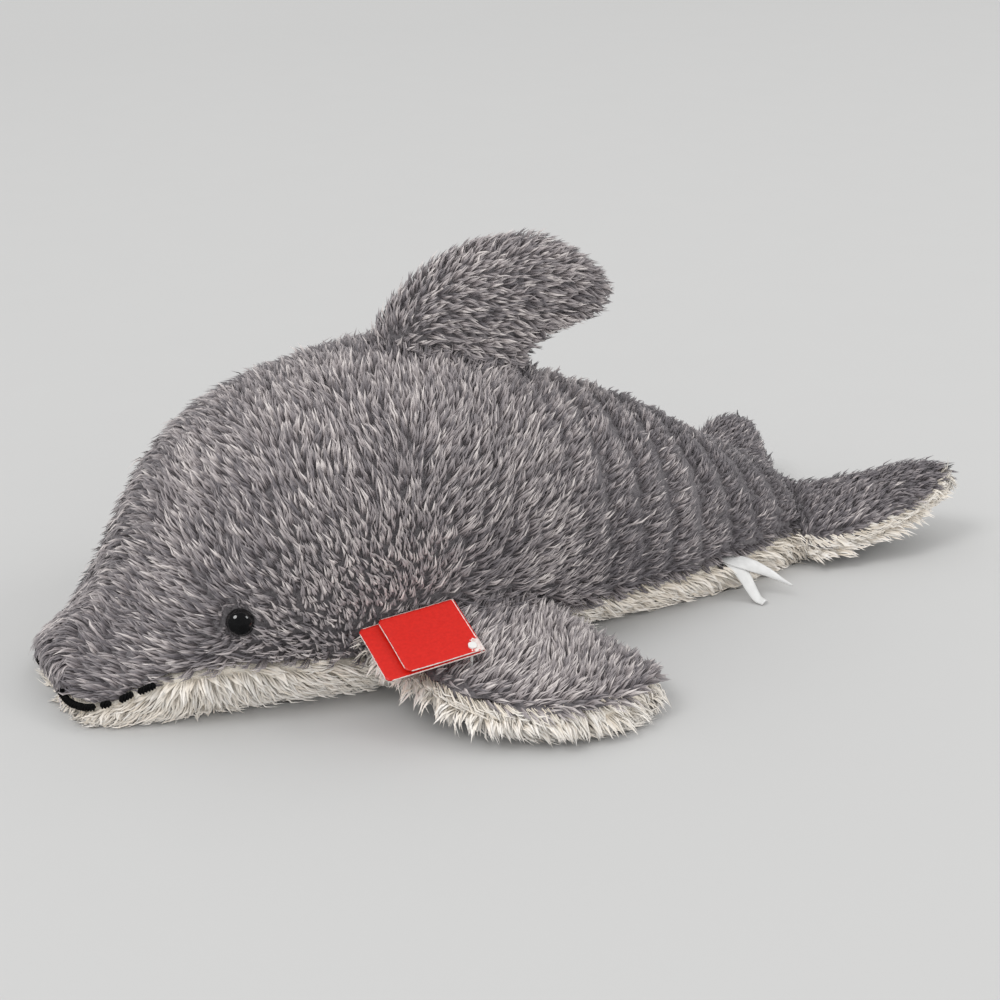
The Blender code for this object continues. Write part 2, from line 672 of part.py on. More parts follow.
def tag_and_pin(carriers, flipper):
    """Card tag that leans on the flipper's root, and the snap pin that holds it there."""
    card = tag_card()
    frame = (Matrix.Translation((TAG_FOLD_BACK, -TAG_FOLD_OUT, TAG_DROP_HEIGHT))
             @ Matrix.Rotation(TAG_TURN, 4, "Z")
             @ Matrix.Rotation(TAG_ROLL, 4, "Y")
             @ Matrix.Rotation(TAG_PITCH, 4, "X")
             @ Matrix.Translation((0, -TAG_WIDTH / 2, 0)))
    card.data.transform(frame)
    lowered = lower_onto(card, carriers, SEAT_GAP) - TAG_LIFT
    card.data.transform(Matrix.Translation((0, 0, TAG_LIFT)))
    frame = Matrix.Translation((0, 0, -lowered)) @ frame
    hole = frame @ Matrix.Translation((-TAG_HOLE_INSET, TAG_HOLE_INSET, 0))
    inward = -hole.col[2].to_3d()
    reach = surface_tree([flipper]).ray_cast(hole.translation, inward)[3]
    top = 2 * CARD_THICKNESS + TAG_LEAF_GAP + SEAM_GAP
    barb = -reach - PIN_DEPTH
    profile = [(0, top + PIN_HEAD_THICKNESS), (PIN_HEAD_RADIUS, top + PIN_HEAD_THICKNESS),
               (PIN_HEAD_RADIUS, top), (PIN_SHAFT_RADIUS, top), (PIN_SHAFT_RADIUS, barb + PIN_BARB_LENGTH),
               (PIN_BARB_RADIUS, barb + PIN_BARB_LENGTH), (PIN_BARB_RADIUS, barb), (0, barb)]
    pin = turned("tag_fastener", profile)
    pin.data.transform(hole)
    room = PIN_BARB_RADIUS + SEAM_GAP
    pocket = turned("pin_pocket", [(0, 0), (room, 0), (room, barb - SEAM_GAP), (0, barb - SEAM_GAP)])
    pocket.data.transform(hole)
    cut(flipper, pocket)
    return card, pin


def ribbon(name, path, root_axis, end_axis):
    """Thin strip along a path, whose width turns from one direction at its root to another."""
    rings = []
    for i, point in enumerate(path):
        ahead = path[min(i + 1, len(path) - 1)] - path[max(i - 1, 0)]
        share = max(0.0, (i - 1) / (len(path) - 2))
        across = root_axis.slerp(end_axis, share) * LABEL_WIDTH / 2
        upward = ahead.cross(across).normalized() * LABEL_THICKNESS / 2
        rings.append([point - across - upward, point + across - upward,
                      point + across + upward, point - across + upward])
    return loft(name, rings)


def label_path(start, heading, reach, drop):
    """Path of a ribbon's free part: level out of the seam, then sagging by the drop."""
    direction = Vector((math.cos(heading), math.sin(heading), 0))
    path = []
    for i in range(1, LABEL_STEPS + 1):
        share = i / LABEL_STEPS
        sag = Vector((0, 0, drop * share ** LABEL_SAG_POWER))
        path.append(start + direction * reach * share - sag)
    return path


def seam_labels(back_panel):
    """Two ribbon labels, one over the other, and the slot in the seam that holds their ends."""
    seam = seam_height(LABEL_BACK)
    frame = skin_frame(LABEL_BACK, seam, -1)
    outward = frame.col[2].to_3d()
    level = Vector((outward.x, outward.y, 0)).normalized()
    along = Vector((0, 0, 1)).cross(level)
    pitch = LABEL_THICKNESS + 2 * SEAM_GAP
    base = seam + SEAM_GAP / 2 + SEAM_GAP + LABEL_THICKNESS / 2
    lowest = LABEL_THICKNESS + LABEL_WIDTH / 2 * abs(math.sin(LOWER_LABEL_TWIST))
    labels = []
    rows = (("seam_label_lower", base, LOWER_LABEL_HEADING, LOWER_LABEL_REACH,
             base - lowest, LOWER_LABEL_TWIST),
            ("seam_label_upper", base + pitch, UPPER_LABEL_HEADING, UPPER_LABEL_REACH,
             UPPER_LABEL_DROP, UPPER_LABEL_TWIST))
    for name, height, heading, reach, drop, twist in rows:
        root = Vector((frame.translation.x, frame.translation.y, height))
        inside = root - level * (LABEL_TUCK - SEAM_GAP)
        end_axis = Matrix.Rotation(twist, 3, (math.cos(heading), math.sin(heading), 0)) @ along
        path = [inside, root] + label_path(root, heading, reach, drop)
        labels.append(ribbon(name, path, along, end_axis))
    bm = bmesh.new()
    bmesh.ops.create_cube(bm, size=1.0)
    slot = mesh_object("label_slot", bm)
    room = 2 * pitch + 2 * SEAM_GAP
    size = Matrix.Diagonal((2 * LABEL_TUCK, LABEL_WIDTH + 4 * SEAM_GAP, 2 * room, 1))
    turn = Matrix((level, along, Vector((0, 0, 1)))).transposed().to_4x4()
    turn.translation = Vector((frame.translation.x, frame.translation.y, seam))
    slot.data.transform(turn @ size)
    cut(back_panel, slot)
    return labels


def dress(piece, colour, roughness):
    """Give a piece its own material and smooth shading."""
    material = bpy.data.materials.new(piece.name)
    material.use_nodes = True
    shader = material.node_tree.nodes["Principled BSDF"]
    shader.inputs["Base Color"].default_value = (*colour, 1)
    shader.inputs["Roughness"].default_value = roughness
    shader.inputs["Metallic"].default_value = 0.0
    material.diffuse_color = (*colour, 1)
    piece.data.materials.clear()
    piece.data.materials.append(material)
    piece.data.shade_smooth()
    piece.data.set_sharp_from_angle(angle=SHARP_ANGLE)


def stand_on_origin(pieces):
    """Move every piece so that the origin is on the floor under the middle of them all."""
    corners = np.vstack([[vert.co[:] for vert in piece.data.vertices] for piece in pieces])
    low = corners.min(axis=0)
    high = corners.max(axis=0)
    move = Matrix.Translation((-(low[0] + high[0]) / 2, -(low[1] + high[1]) / 2, -low[2]))
    for piece in pieces:
        piece.data.transform(move)


def build():
    """Model the whole toy."""
    for old in list(bpy.data.objects):
        bpy.data.objects.remove(old)
    whole = body_solid("body_whole")
    skin = grown_copy(whole, SEAM_GAP)
    back_panel = body_solid("body_back")
    cut(back_panel, seam_side("above_seam", True), "INTERSECT")
    belly = body_solid("belly")
    cut(belly, seam_side("below_seam", False), "INTERSECT")

    dorsal = dorsal_solid()
    flipper_tops = []
    undersides = []
    for side, sign in (("left", -1), ("right", 1)):
        flipper_tops.append(flipper_half(f"flipper_{side}_top", sign, 1))
        undersides.append(flipper_half(f"flipper_{side}_underside", sign, -1))
    fluke_top = fluke_half("fluke_top", 1)
    undersides.append(fluke_half("fluke_underside", -1))
    for fin in [dorsal, fluke_top] + flipper_tops + undersides:
        cut(fin, skin, keep_cutter=True)

    eyes = []
    washers = []
    for side, sign in (("left", -1), ("right", 1)):
        eye, washer = eye_pieces(side, sign, back_panel)
        eyes.append(eye)
        washers.append(washer)
    stitches = mouth(surface_tree([back_panel, belly]))
    labels = seam_labels(back_panel)
    tag, pin = tag_and_pin([back_panel, flipper_tops[0]], flipper_tops[0])
    for helper in (whole, skin):
        bpy.data.objects.remove(helper)

    for piece in [back_panel, dorsal, fluke_top] + flipper_tops:
        dress(piece, GREY_PLUSH, PLUSH_ROUGHNESS)
    for piece in [belly] + undersides:
        dress(piece, WHITE_PLUSH, PLUSH_ROUGHNESS)
    for piece in eyes:
        dress(piece, BLACK_PLASTIC, EYE_ROUGHNESS)
    for piece in washers:
        dress(piece, WASHER_PLASTIC, TRIM_ROUGHNESS)
    for piece in labels:
        dress(piece, WHITE_SATIN, TRIM_ROUGHNESS)
    for piece in stitches:
        dress(piece, BLACK_YARN, YARN_ROUGHNESS)
    dress(tag, RED_CARD, TRIM_ROUGHNESS)
    dress(pin, CLEAR_NYLON, TRIM_ROUGHNESS)
    stand_on_origin([back_panel, belly, dorsal, fluke_top, tag, pin]
                    + flipper_tops + undersides + eyes + washers + stitches + labels)


build()
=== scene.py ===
"""Looks of a plush dolphin: sewn skins, long pile, eyes, mouth yarn, card tag and ribbon labels.

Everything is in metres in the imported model's frame: +Z up, the nose towards -X and the
dolphin's left side towards -Y. The pile is made of spikes that stand in locks. Each spike
is a tapering bundle of fibres, and a coat's flow gives the way its locks are brushed.
"""
import itertools
import logging
import math
from abc import ABC, abstractmethod
from dataclasses import dataclass, field
from enum import Enum
from typing import Callable, Iterable

import bmesh
import bpy
import numpy as np
from mathutils import Matrix, Vector, noise
from mathutils.bvhtree import BVHTree


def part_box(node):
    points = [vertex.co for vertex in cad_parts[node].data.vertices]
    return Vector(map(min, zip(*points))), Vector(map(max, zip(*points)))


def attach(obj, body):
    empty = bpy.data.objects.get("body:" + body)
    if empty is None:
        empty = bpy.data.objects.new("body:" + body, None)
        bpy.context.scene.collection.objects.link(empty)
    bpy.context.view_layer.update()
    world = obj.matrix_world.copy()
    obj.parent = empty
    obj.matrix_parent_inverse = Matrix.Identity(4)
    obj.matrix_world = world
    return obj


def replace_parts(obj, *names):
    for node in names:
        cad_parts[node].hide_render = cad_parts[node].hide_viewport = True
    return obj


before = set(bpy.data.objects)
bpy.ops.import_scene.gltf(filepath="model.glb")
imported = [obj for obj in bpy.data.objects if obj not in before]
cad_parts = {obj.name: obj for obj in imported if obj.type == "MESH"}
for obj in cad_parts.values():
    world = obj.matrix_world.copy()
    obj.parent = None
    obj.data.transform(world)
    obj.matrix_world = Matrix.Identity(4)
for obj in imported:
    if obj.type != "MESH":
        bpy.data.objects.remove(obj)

Rows = np.ndarray
BMesh = bmesh.types.BMesh
Mesh = bpy.types.Mesh
Material = bpy.types.Material
Socket = bpy.types.NodeSocket
LOG = logging.getLogger("plush")
SEED = 11
PILE_UV = "OFBake"
FLOOR_CLEARANCE = 0.0004


class Side(Enum):
    """The dolphin's left and right side, as the sign of Y."""

    LEFT = -1
    RIGHT = 1


class Nap(Enum):
    """Ways in which a panel's pile is brushed."""

    FLANK = "up the sides, and towards the nose on the snout"
    BELLY = "down and out to the floor"
    DORSAL = "backwards along the fin"
    FLIPPER = "from a flipper's front edge to its rear edge"
    FLUKE = "from the fluke's root out along its lobes"
    FRINGE = "down and out round a flipper's white edge"
    FLUKE_FRINGE = "out along the fluke's white edge"


class Zone(Enum):
    """Parts of a node that one coat covers."""

    WHOLE = "all of it"
    FIELD = "all but the white edge"
    EDGE = "the white edge that runs up a fin's front"
    BEYOND_ROOT = "all but the root"


class Wire:
    """A value in a material's maths. The operators add Math nodes."""

    def __init__(self, nodes: "Nodes", socket: Socket) -> None:
        """Wrap one output socket."""
        self.nodes = nodes
        self.socket = socket

    def _math(self, operation: str, first: object, second: object) -> "Wire":
        """Add one Math node.

        Args:
            operation: The Math node's operation.
            first: Its first value or wire.
            second: Its second value or wire.

        Returns:
            The node's result.
        """
        made = self.nodes.node("ShaderNodeMath", {"operation": operation}, {0: first, 1: second})
        return Wire(self.nodes, made.outputs[0])

    def __add__(self, other: object) -> "Wire":
        """Sum."""
        return self._math("ADD", self, other)

    def __mul__(self, other: object) -> "Wire":
        """Product."""
        return self._math("MULTIPLY", self, other)

    def __gt__(self, other: object) -> "Wire":
        """1 where this is greater than the other, and 0 elsewhere."""
        return self._math("GREATER_THAN", self, other)

    def minimum(self, other: object) -> "Wire":
        """The lesser of two values."""
        return self._math("MINIMUM", self, other)


class Nodes:
    """Node tree of one material, with its Principled shader and output."""

    def __init__(self, name: str) -> None:
        """Start an empty material.

        Args:
            name: The material's name.
        """
        self.material = bpy.data.materials.new(name)
        self.material.use_nodes = True
        self.tree = self.material.node_tree
        self.tree.nodes.clear()

    def node(self, kind: str, settings: dict | None = None, sockets: dict | None = None) -> bpy.types.Node:
        """Add one node.

        Args:
            kind: The node's type.
            settings: Its settings, set first. The stops of a ramp are (position, colour) pairs.
            sockets: A value, wire or output socket for each named or numbered input.

        Returns:
            The new node.
        """
        made = self.tree.nodes.new(kind)
        for name, value in (settings or {}).items():
            if name == "stops":
                self._set_stops(made.color_ramp, value)
            else:
                setattr(made, name, value)
        for key, value in (sockets or {}).items():
            target = made.inputs[key]
            if isinstance(value, Wire):
                self.tree.links.new(value.socket, target)
            elif isinstance(value, Socket):
                self.tree.links.new(value, target)
            else:
                target.default_value = value
        return made

    @staticmethod
    def _set_stops(ramp: bpy.types.ColorRamp, stops: tuple) -> None:
        """Give a ramp its stops.

        Args:
            ramp: The ramp to change.
            stops: Pairs of position and linear colour, in rising order.
        """
        while len(ramp.elements) > 1:
            ramp.elements.remove(ramp.elements[-1])
        ramp.elements[0].position = stops[0][0]
        ramp.elements[0].color = (*stops[0][1], 1)
        for position, colour in stops[1:]:
            ramp.elements.new(position).color = (*colour, 1)

    def ramp(self, factor: Wire, stops: tuple) -> Socket:
        """Colour picked by a factor from a ramp of (position, colour) stops."""
        return self.node("ShaderNodeValToRGB", {"stops": stops}, {"Fac": factor}).outputs["Color"]

    def mix(self, factor: object, first: object, second: object, blend: str = "MIX") -> Socket:
        """Mix two colours.

        Args:
            factor: Share of the second colour.
            first: First colour, as four numbers or a socket.
            second: Second colour, as four numbers or a socket.
            blend: The way they are blended.

        Returns:
            The mixed colour.
        """
        made = self.node("ShaderNodeMix", {"data_type": "RGBA", "blend_type": blend},
                         {0: factor, 6: first, 7: second})
        return made.outputs[2]

    def place(self, scale: tuple = (1, 1, 1)) -> Socket:
        """Object coordinates, scaled along each axis."""
        spot = self.node("ShaderNodeTexCoord").outputs["Object"]
        return self.node("ShaderNodeMapping", None, {"Vector": spot, "Scale": scale}).outputs["Vector"]

    def grain(self, scale: float, detail: float = 3.0, stretch: tuple = (1, 1, 1)) -> Wire:
        """Noise over the object.

        Args:
            scale: Waves per metre.
            detail: Octaves of the noise.
            stretch: Scale along each axis before the noise.

        Returns:
            The noise, from 0 to 1.
        """
        made = self.node("ShaderNodeTexNoise", None,
                         {"Vector": self.place(stretch), "Scale": scale, "Detail": detail})
        return Wire(self, made.outputs["Fac"])

    def bump(self, height: Wire, strength: float, distance: float) -> Socket:
        """Normal bent by a height.

        Args:
            height: The height.
            strength: Strength of the effect.
            distance: Height in metres where the value is 1.

        Returns:
            The normal.
        """
        return self.node("ShaderNodeBump", None,
                         {"Height": height, "Strength": strength, "Distance": distance}).outputs["Normal"]

    def principled(self, sockets: dict) -> Material:
        """Finish the material with a Principled shader.

        Args:
            sockets: Values or links of the shader's inputs.

        Returns:
            The material.
        """
        shader = self.node("ShaderNodeBsdfPrincipled", None, sockets)
        self.node("ShaderNodeOutputMaterial", None, {"Surface": shader.outputs[0]})
        return self.material


class Finish(ABC):
    """What a surface is made of. Each material is made once and shared."""

    name: str
    slot: str
    _made: dict[str, Material] = {}

    def material(self) -> Material:
        """Make the finish's material, or find it.

        Returns:
            The material.
        """
        if self.name not in Finish._made:
            Finish._made[self.name] = self.paint(Nodes(self.name))
        return Finish._made[self.name]

    @abstractmethod
    def paint(self, nodes: Nodes) -> Material:
        """Make the material in an empty tree."""


@dataclass(frozen=True)
class PileFinish(Finish):
    """Pile of soft polyester fibre. U runs from root to tip, along which painted shade darkens the fibre towards
    its root, and V picks the fibre's tone.
    """

    name: str
    slot: str
    tones: tuple
    # Ramp of painted shade along each fibre: darker towards the root, full colour at the tip.
    depth: tuple
    roughness: float = 0.62
    sheen: float = 0.22

    def paint(self, nodes: Nodes) -> Material:
        """Make the material.

        Args:
            nodes: Its empty node tree.

        Returns:
            The material.
        """
        spot = nodes.node("ShaderNodeUVMap", {"uv_map": PILE_UV}).outputs["UV"]
        parts = nodes.node("ShaderNodeSeparateXYZ", None, {0: spot})
        along = Wire(nodes, parts.outputs["X"])
        tone = Wire(nodes, parts.outputs["Y"])
        # The tone's colour is multiplied by painted shade that darkens each fibre towards its root.
        colour = nodes.mix(1.0, nodes.ramp(tone, self.tones), nodes.ramp(along, self.depth), "MULTIPLY")
        return nodes.principled({"Base Color": colour, "Roughness": self.roughness,
                                 "Specular IOR Level": 0.35, "Sheen Weight": self.sheen,
                                 "Sheen Roughness": 0.45})


@dataclass(frozen=True)
class SkinFinish(Finish):
    """Knitted backing under the pile, seen only in the gaps between locks. Its colours are darker than the pile's,
    as painted shade in those gaps.
    """

    name: str
    slot: str
    dark: tuple
    pale: tuple

    def paint(self, nodes: Nodes) -> Material:
        """Make the material.

        Args:
            nodes: Its empty node tree.

        Returns:
            The material.
        """
        tufts = nodes.grain(420, 4)
        patches = nodes.grain(38, 2)
        colour = nodes.ramp(tufts * 0.7 + patches * 0.3, [(0.30, self.dark), (0.72, self.pale)])
        return nodes.principled({"Base Color": colour, "Roughness": 0.9,
                                 "Normal": nodes.bump(tufts, 0.7, 0.0015),
                                 "Specular IOR Level": 0.2})


@dataclass(frozen=True)
class GrainFinish(Finish):
    """Stuff of one colour that noise varies.

    The tint and the fine noise are (waves per metre, octaves, stretch), the colours are a ramp
    over the tint, the gloss is (least roughness, rise over the fine noise), and the relief is
    (strength, metres) of the fine noise.
    """

    name: str
    slot: str
    tint: tuple
    colours: tuple
    fine: tuple
    gloss: tuple[float, float]
    relief: tuple = ()
    constants: tuple = ()

    def paint(self, nodes: Nodes) -> Material:
        """Make the material.

        Args:
            nodes: Its empty node tree.

        Returns:
            The material.
        """
        colour = nodes.ramp(nodes.grain(*self.tint), self.colours)
        fine = nodes.grain(*self.fine)
        least, rise = self.gloss
        sockets = {"Base Color": colour, "Roughness": fine * rise + least if rise else least}
        if self.relief:
            sockets["Normal"] = nodes.bump(fine, *self.relief)
        return nodes.principled({**sockets, **dict(self.constants)})


@dataclass(frozen=True)
class CardFinish(Finish):
    """Red print on coated white card, worn pale along creases and one corner."""

    name: str = "tag_red_card"
    slot: str = "red_card"

    def paint(self, nodes: Nodes) -> Material:
        """Make the material.

        Args:
            nodes: Its empty node tree.

        Returns:
            The material.
        """
        spot = nodes.node("ShaderNodeUVMap", {"uv_map": "card"}).outputs["UV"]
        parts = nodes.node("ShaderNodeSeparateXYZ", None, {0: spot})
        edge = Wire(nodes, parts.outputs["X"])
        worn = Wire(nodes, parts.outputs["Y"])
        mottle = nodes.grain(520, 4)
        ink = nodes.ramp(mottle, [(0.3, (0.62, 0.014, 0.009)), (0.75, (0.72, 0.022, 0.013))])
        bare = nodes.ramp(mottle, [(0.3, (0.70, 0.55, 0.52)), (0.7, (0.86, 0.82, 0.78))])
        scuffed = (worn + mottle * 0.55) > 0.93
        rubbed = (edge + mottle * 0.35) > 1.0
        share = (scuffed + rubbed).minimum(1.0)
        creases = nodes.grain(110, 3, (1, 2.2, 1))
        return nodes.principled({"Base Color": nodes.mix(share, ink, bare),
                                 "Roughness": share * 0.35 + 0.32,
                                 "Normal": nodes.bump(creases, 0.25, 0.0006)})


@dataclass(frozen=True)
class FloorFinish(Finish):
    """Seamless pale studio paper, with painted shade that darkens it towards +Y, away from the camera, and painted
    near black in mirror rays so that glossy things reflect a dark floor.
    """

    name: str = "studio_paper"
    slot: str = ""
    colour: tuple = (0.590, 0.590, 0.585)

    def paint(self, nodes: Nodes) -> Material:
        """Make the material.

        Args:
            nodes: Its empty node tree.

        Returns:
            The material.
        """
        spot = nodes.node("ShaderNodeSeparateXYZ", None, {0: nodes.place()})
        # Painted shade: the paper darkens towards +Y, away from the camera, with a little noise in the gradient.
        depth = Wire(nodes, spot.outputs["Y"]) * 0.2 + nodes.grain(14, 2) * 0.1
        far_painted_shade = tuple(value * 0.92 for value in self.colour)
        paper = nodes.ramp(depth, [(0.0, self.colour), (0.55, far_painted_shade)])
        # Painted reflection: mirror rays see the paper near black.
        mirrored = Wire(nodes, nodes.node("ShaderNodeLightPath").outputs["Is Glossy Ray"])
        return nodes.principled({"Base Color": nodes.mix(mirrored, paper, (0.06, 0.06, 0.06, 1)),
                                 "Roughness": 0.9, "Specular IOR Level": 0.1})


# The second ramp of each pile is painted shade: the fibres darken towards their roots and reach full colour at the
# tips.
UNSHADED_TIPS = ((0.8, (1.0, 1.0, 1.0)), (1.0, (1.0, 1.0, 1.0)))
GREY_PILE = PileFinish(
    "pile_grey", "grey_plush",
    ((0.0, (0.180, 0.166, 0.178)), (0.35, (0.328, 0.300, 0.307)),
     (0.65, (0.475, 0.431, 0.431)), (1.0, (0.790, 0.733, 0.708))),
    ((0.0, (0.32, 0.30, 0.31)), (0.45, (0.66, 0.64, 0.65)), *UNSHADED_TIPS))
WHITE_PILE = PileFinish(
    "pile_white", "white_plush",
    ((0.0, (0.92, 0.845, 0.745)), (0.5, (0.975, 0.915, 0.835)), (1.0, (1.0, 0.965, 0.915))),
    ((0.0, (0.91, 0.86, 0.78)), (0.4, (0.98, 0.955, 0.92)), *UNSHADED_TIPS), sheen=0.1)
# Each skin's colours are darker than its pile: painted shade for the gaps between locks.
GREY_SKIN_PAINTED_SHADE = SkinFinish("skin_grey", "grey_plush", (0.110, 0.103, 0.110), (0.26, 0.243, 0.25))
WHITE_SKIN_PAINTED_SHADE = SkinFinish("skin_white", "white_plush", (0.82, 0.745, 0.64), (0.92, 0.865, 0.78))
EYE_GLOSS = GrainFinish(
    "eye_gloss", "eye_plastic", (260, 3), ((0.35, (0.002, 0.002, 0.0025)), (0.8, (0.006, 0.006, 0.0065))),
    (900, 2), (0.04, 0.05), (), (("Specular IOR Level", 0.5), ("Coat Weight", 1.0), ("Coat Roughness", 0.03)))
BLACK_YARN = GrainFinish(
    "mouth_yarn_black", "black_yarn", (1500, 4), ((0.35, (0.002,) * 3), (0.75, (0.012,) * 3)),
    (1500, 4), (0.9, 0.0), (0.8, 0.0004), (("Specular IOR Level", 0.15),))
SATIN = GrainFinish(
    "label_satin", "satin_ribbon", (160, 2), ((0.3, (0.72, 0.72, 0.71)), (0.7, (0.82, 0.82, 0.81))),
    (1300, 2, (0.35, 2.5, 2.5)), (0.3, 0.2), (0.35, 0.0002), (("Sheen Weight", 0.3),))
WASHER_NYLON, PIN_NYLON = (
    GrainFinish(name, slot, (600, 3), ((0.3, colour), (0.7, tuple(min(1.0, value * 1.08) for value in colour))),
                (600, 3), (0.3, 0.2), (0.1, 0.0002))
    for name, slot, colour in (("washer_nylon", "washer_plastic", (0.72, 0.72, 0.70)),
                               ("pin_nylon", "clear_nylon", (0.78, 0.78, 0.76))))


def new_piece(name: str, mesh: Mesh, finish: Finish) -> bpy.types.Object:
    """Add a finished piece to the scene and let it ride on the body.

    Args:
        name: The piece's name.
        mesh: Its mesh, in place.
        finish: What it is made of.

    Returns:
        The piece.
    """
    piece = bpy.data.objects.new(name, mesh)
    bpy.context.scene.collection.objects.link(piece)
    mesh.materials.clear()
    mesh.materials.append(finish.material())
    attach(piece, "root")
    LOG.info("%s: %d faces", name, len(mesh.polygons))
    return piece


def mesh_of(name: str, bm: BMesh) -> Mesh:
    """Turn a bmesh into a smooth mesh with its faces outwards.

    Args:
        name: The mesh's name.
        bm: The bmesh, which is freed.

    Returns:
        The mesh.
    """
    bmesh.ops.recalc_face_normals(bm, faces=bm.faces)
    for face in bm.faces:
        face.smooth = True
    mesh = bpy.data.meshes.new(name)
    bm.to_mesh(mesh)
    bm.free()
    return mesh


def merged_node(name: str) -> BMesh:
    """Copy a CAD node, with its loose triangles joined.

    Args:
        name: The node.

    Returns:
        The copy.
    """
    bm = bmesh.new()
    bm.from_mesh(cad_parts[name].data)
    bmesh.ops.remove_doubles(bm, verts=bm.verts, dist=0.00002)
    bm.normal_update()
    return bm


def remeshed(bm: BMesh, voxel: float) -> Mesh:
    """Even quads over a closed form.

    Args:
        bm: The form, which is freed.
        voxel: Size of a quad.

    Returns:
        The new mesh.
    """
    source = mesh_of("remesh_source", bm)
    holder = bpy.data.objects.new("remesh_holder", source)
    bpy.context.scene.collection.objects.link(holder)
    modifier = holder.modifiers.new("even", "REMESH")
    modifier.mode = "VOXEL"
    modifier.voxel_size = voxel
    graph = bpy.context.evaluated_depsgraph_get()
    result = bpy.data.meshes.new_from_object(holder.evaluated_get(graph))
    bpy.data.objects.remove(holder)
    bpy.data.meshes.remove(source)
    return result


def vertex_rows(mesh: Mesh, kind: str) -> Rows:
    """Read a vector of each vertex.

    Args:
        mesh: The mesh.
        kind: What is read: co for the places, normal for the normals.

    Returns:
        One row for each vertex.
    """
    flat = np.empty(len(mesh.vertices) * 3, np.float32)
    mesh.vertices.foreach_get(kind, flat)
    return flat.reshape(-1, 3).astype(float)


def unit(vectors: Rows) -> Rows:
    """Vectors scaled to length 1."""
    return vectors / np.maximum(np.linalg.norm(vectors, axis=1, keepdims=True), 1e-9)


def noise_at(places: Rows, scale: float, shift: tuple = (0, 0, 0)) -> Rows:
    """Smooth noise at each place, once it is scaled and shifted."""
    return np.array([noise.noise(Vector(place) * scale + Vector(shift)) for place in places])


@dataclass
class Spots:
    """Places on a furry node, with the outward normals there and the nose's X."""

    places: Rows
    normals: Rows
    nose: float

    @property
    def back(self) -> Rows:
        """How far behind the nose each place is."""
        return self.places[:, 0] - self.nose

    @property
    def y(self) -> Rows:
        """Y of each place."""
        return self.places[:, 1]

    @property
    def z(self) -> Rows:
        """Height of each place."""
        return self.places[:, 2]

    def picked(self, chosen: list[int]) -> "Spots":
        """Some of the places."""
        return Spots(self.places[chosen], self.normals[chosen], self.nose)

    def pressed(self, vectors: Rows) -> Rows:
        """Vectors laid onto the skin, with length 1."""
        return unit(vectors - self.normals * (vectors * self.normals).sum(axis=1, keepdims=True))


class Form:
    """The furry CAD solids: where their outer faces are, and what covers them."""

    PANELS = ("body_back", "belly")
    COVER_REACH = 0.003

    def __init__(self, names: Iterable[str]) -> None:
        """Index the furry nodes.

        Args:
            names: The nodes.
        """
        self.trees: dict[str, BVHTree] = {}
        for name in names:
            bm = merged_node(name)
            self.trees[name] = BVHTree.FromBMesh(bm)
            bm.free()
        low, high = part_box("body_back")
        self.nose = low.x
        self._steps = np.linspace(low.x + 0.001, high.x - 0.001, 80)
        self._ridge = np.array([self._top(x) for x in self._steps])

    def _top(self, x: float) -> float:
        """Height of the back's ridge at one place along the body."""
        hit = self.trees["body_back"].ray_cast(Vector((x, 0, 1)), Vector((0, 0, -1)))
        return hit[0].z if hit[0] is not None else 0.05

    def ridge(self, x: Rows) -> Rows:
        """Height of the back's ridge at places along the body."""
        return np.interp(x, self._steps, self._ridge)

    def cover(self, own: str, place: Vector, normal: Vector, reach: float) -> str:
        """Name of the solid that lies close outside a place.

        Args:
            own: The node that the place is on.
            place: The place.
            normal: Its outward normal.
            reach: Distance within which another solid counts.

        Returns:
            The other solid, or nothing where the place is open.
        """
        start = place + normal * 0.00005
        for name, tree in self.trees.items():
            if name != own and tree.ray_cast(start, normal, reach)[0] is not None:
                return name
        return ""

    def bears_pile(self, own: str, place: Vector, normal: Vector) -> bool:
        """Whether a lock can grow at a place.

        Args:
            own: The node that the place is on.
            place: The place.
            normal: Its outward normal.

        Returns:
            True where the place is open, or close to the edge of a fin sewn onto a panel.
        """
        if own not in self.PANELS:
            return not self.cover(own, place, normal, 0.0012)
        cover = self.cover(own, place, normal, self.COVER_REACH)
        if not cover:
            return True
        if cover in self.PANELS:
            return False
        aside = normal.orthogonal().normalized()
        for turn in range(6):
            probe = place + Matrix.Rotation(turn * math.pi / 3, 3, normal) @ aside * 0.0065
            spot, out, _, _ = self.trees[own].find_nearest(probe)
            if not self.cover(own, spot, out, self.COVER_REACH):
                return True
        return False

    def nearness(self, names: Iterable[str], places: Rows, reach: float) -> tuple[Rows, Rows]:
        """How close places are to some solids, and which way those lie.

        Args:
            names: The solids' nodes.
            places: The places.
            reach: Distance at which the nearness is 0.

        Returns:
            Nearness, 1 at a solid and 0 at the reach, and unit vectors towards the closest one.
        """
        near = np.zeros(len(places))
        towards = np.zeros(places.shape)
        for name in names:
            for i, place in enumerate(places):
                found = self.trees[name].find_nearest(Vector(place), reach)
                if found[0] is not None and 1 - found[3] / reach > near[i]:
                    near[i] = 1 - found[3] / reach
                    towards[i] = found[0] - Vector(place)
        return near, unit(towards)

    def thickness(self, own: str, place: Vector, normal: Vector) -> float:
        """Thickness of a node, straight inwards from a place on it."""
        hit = self.trees[own].ray_cast(place - normal * 0.0002, -normal, 0.2)
        return hit[3] if hit[0] is not None else 0.2


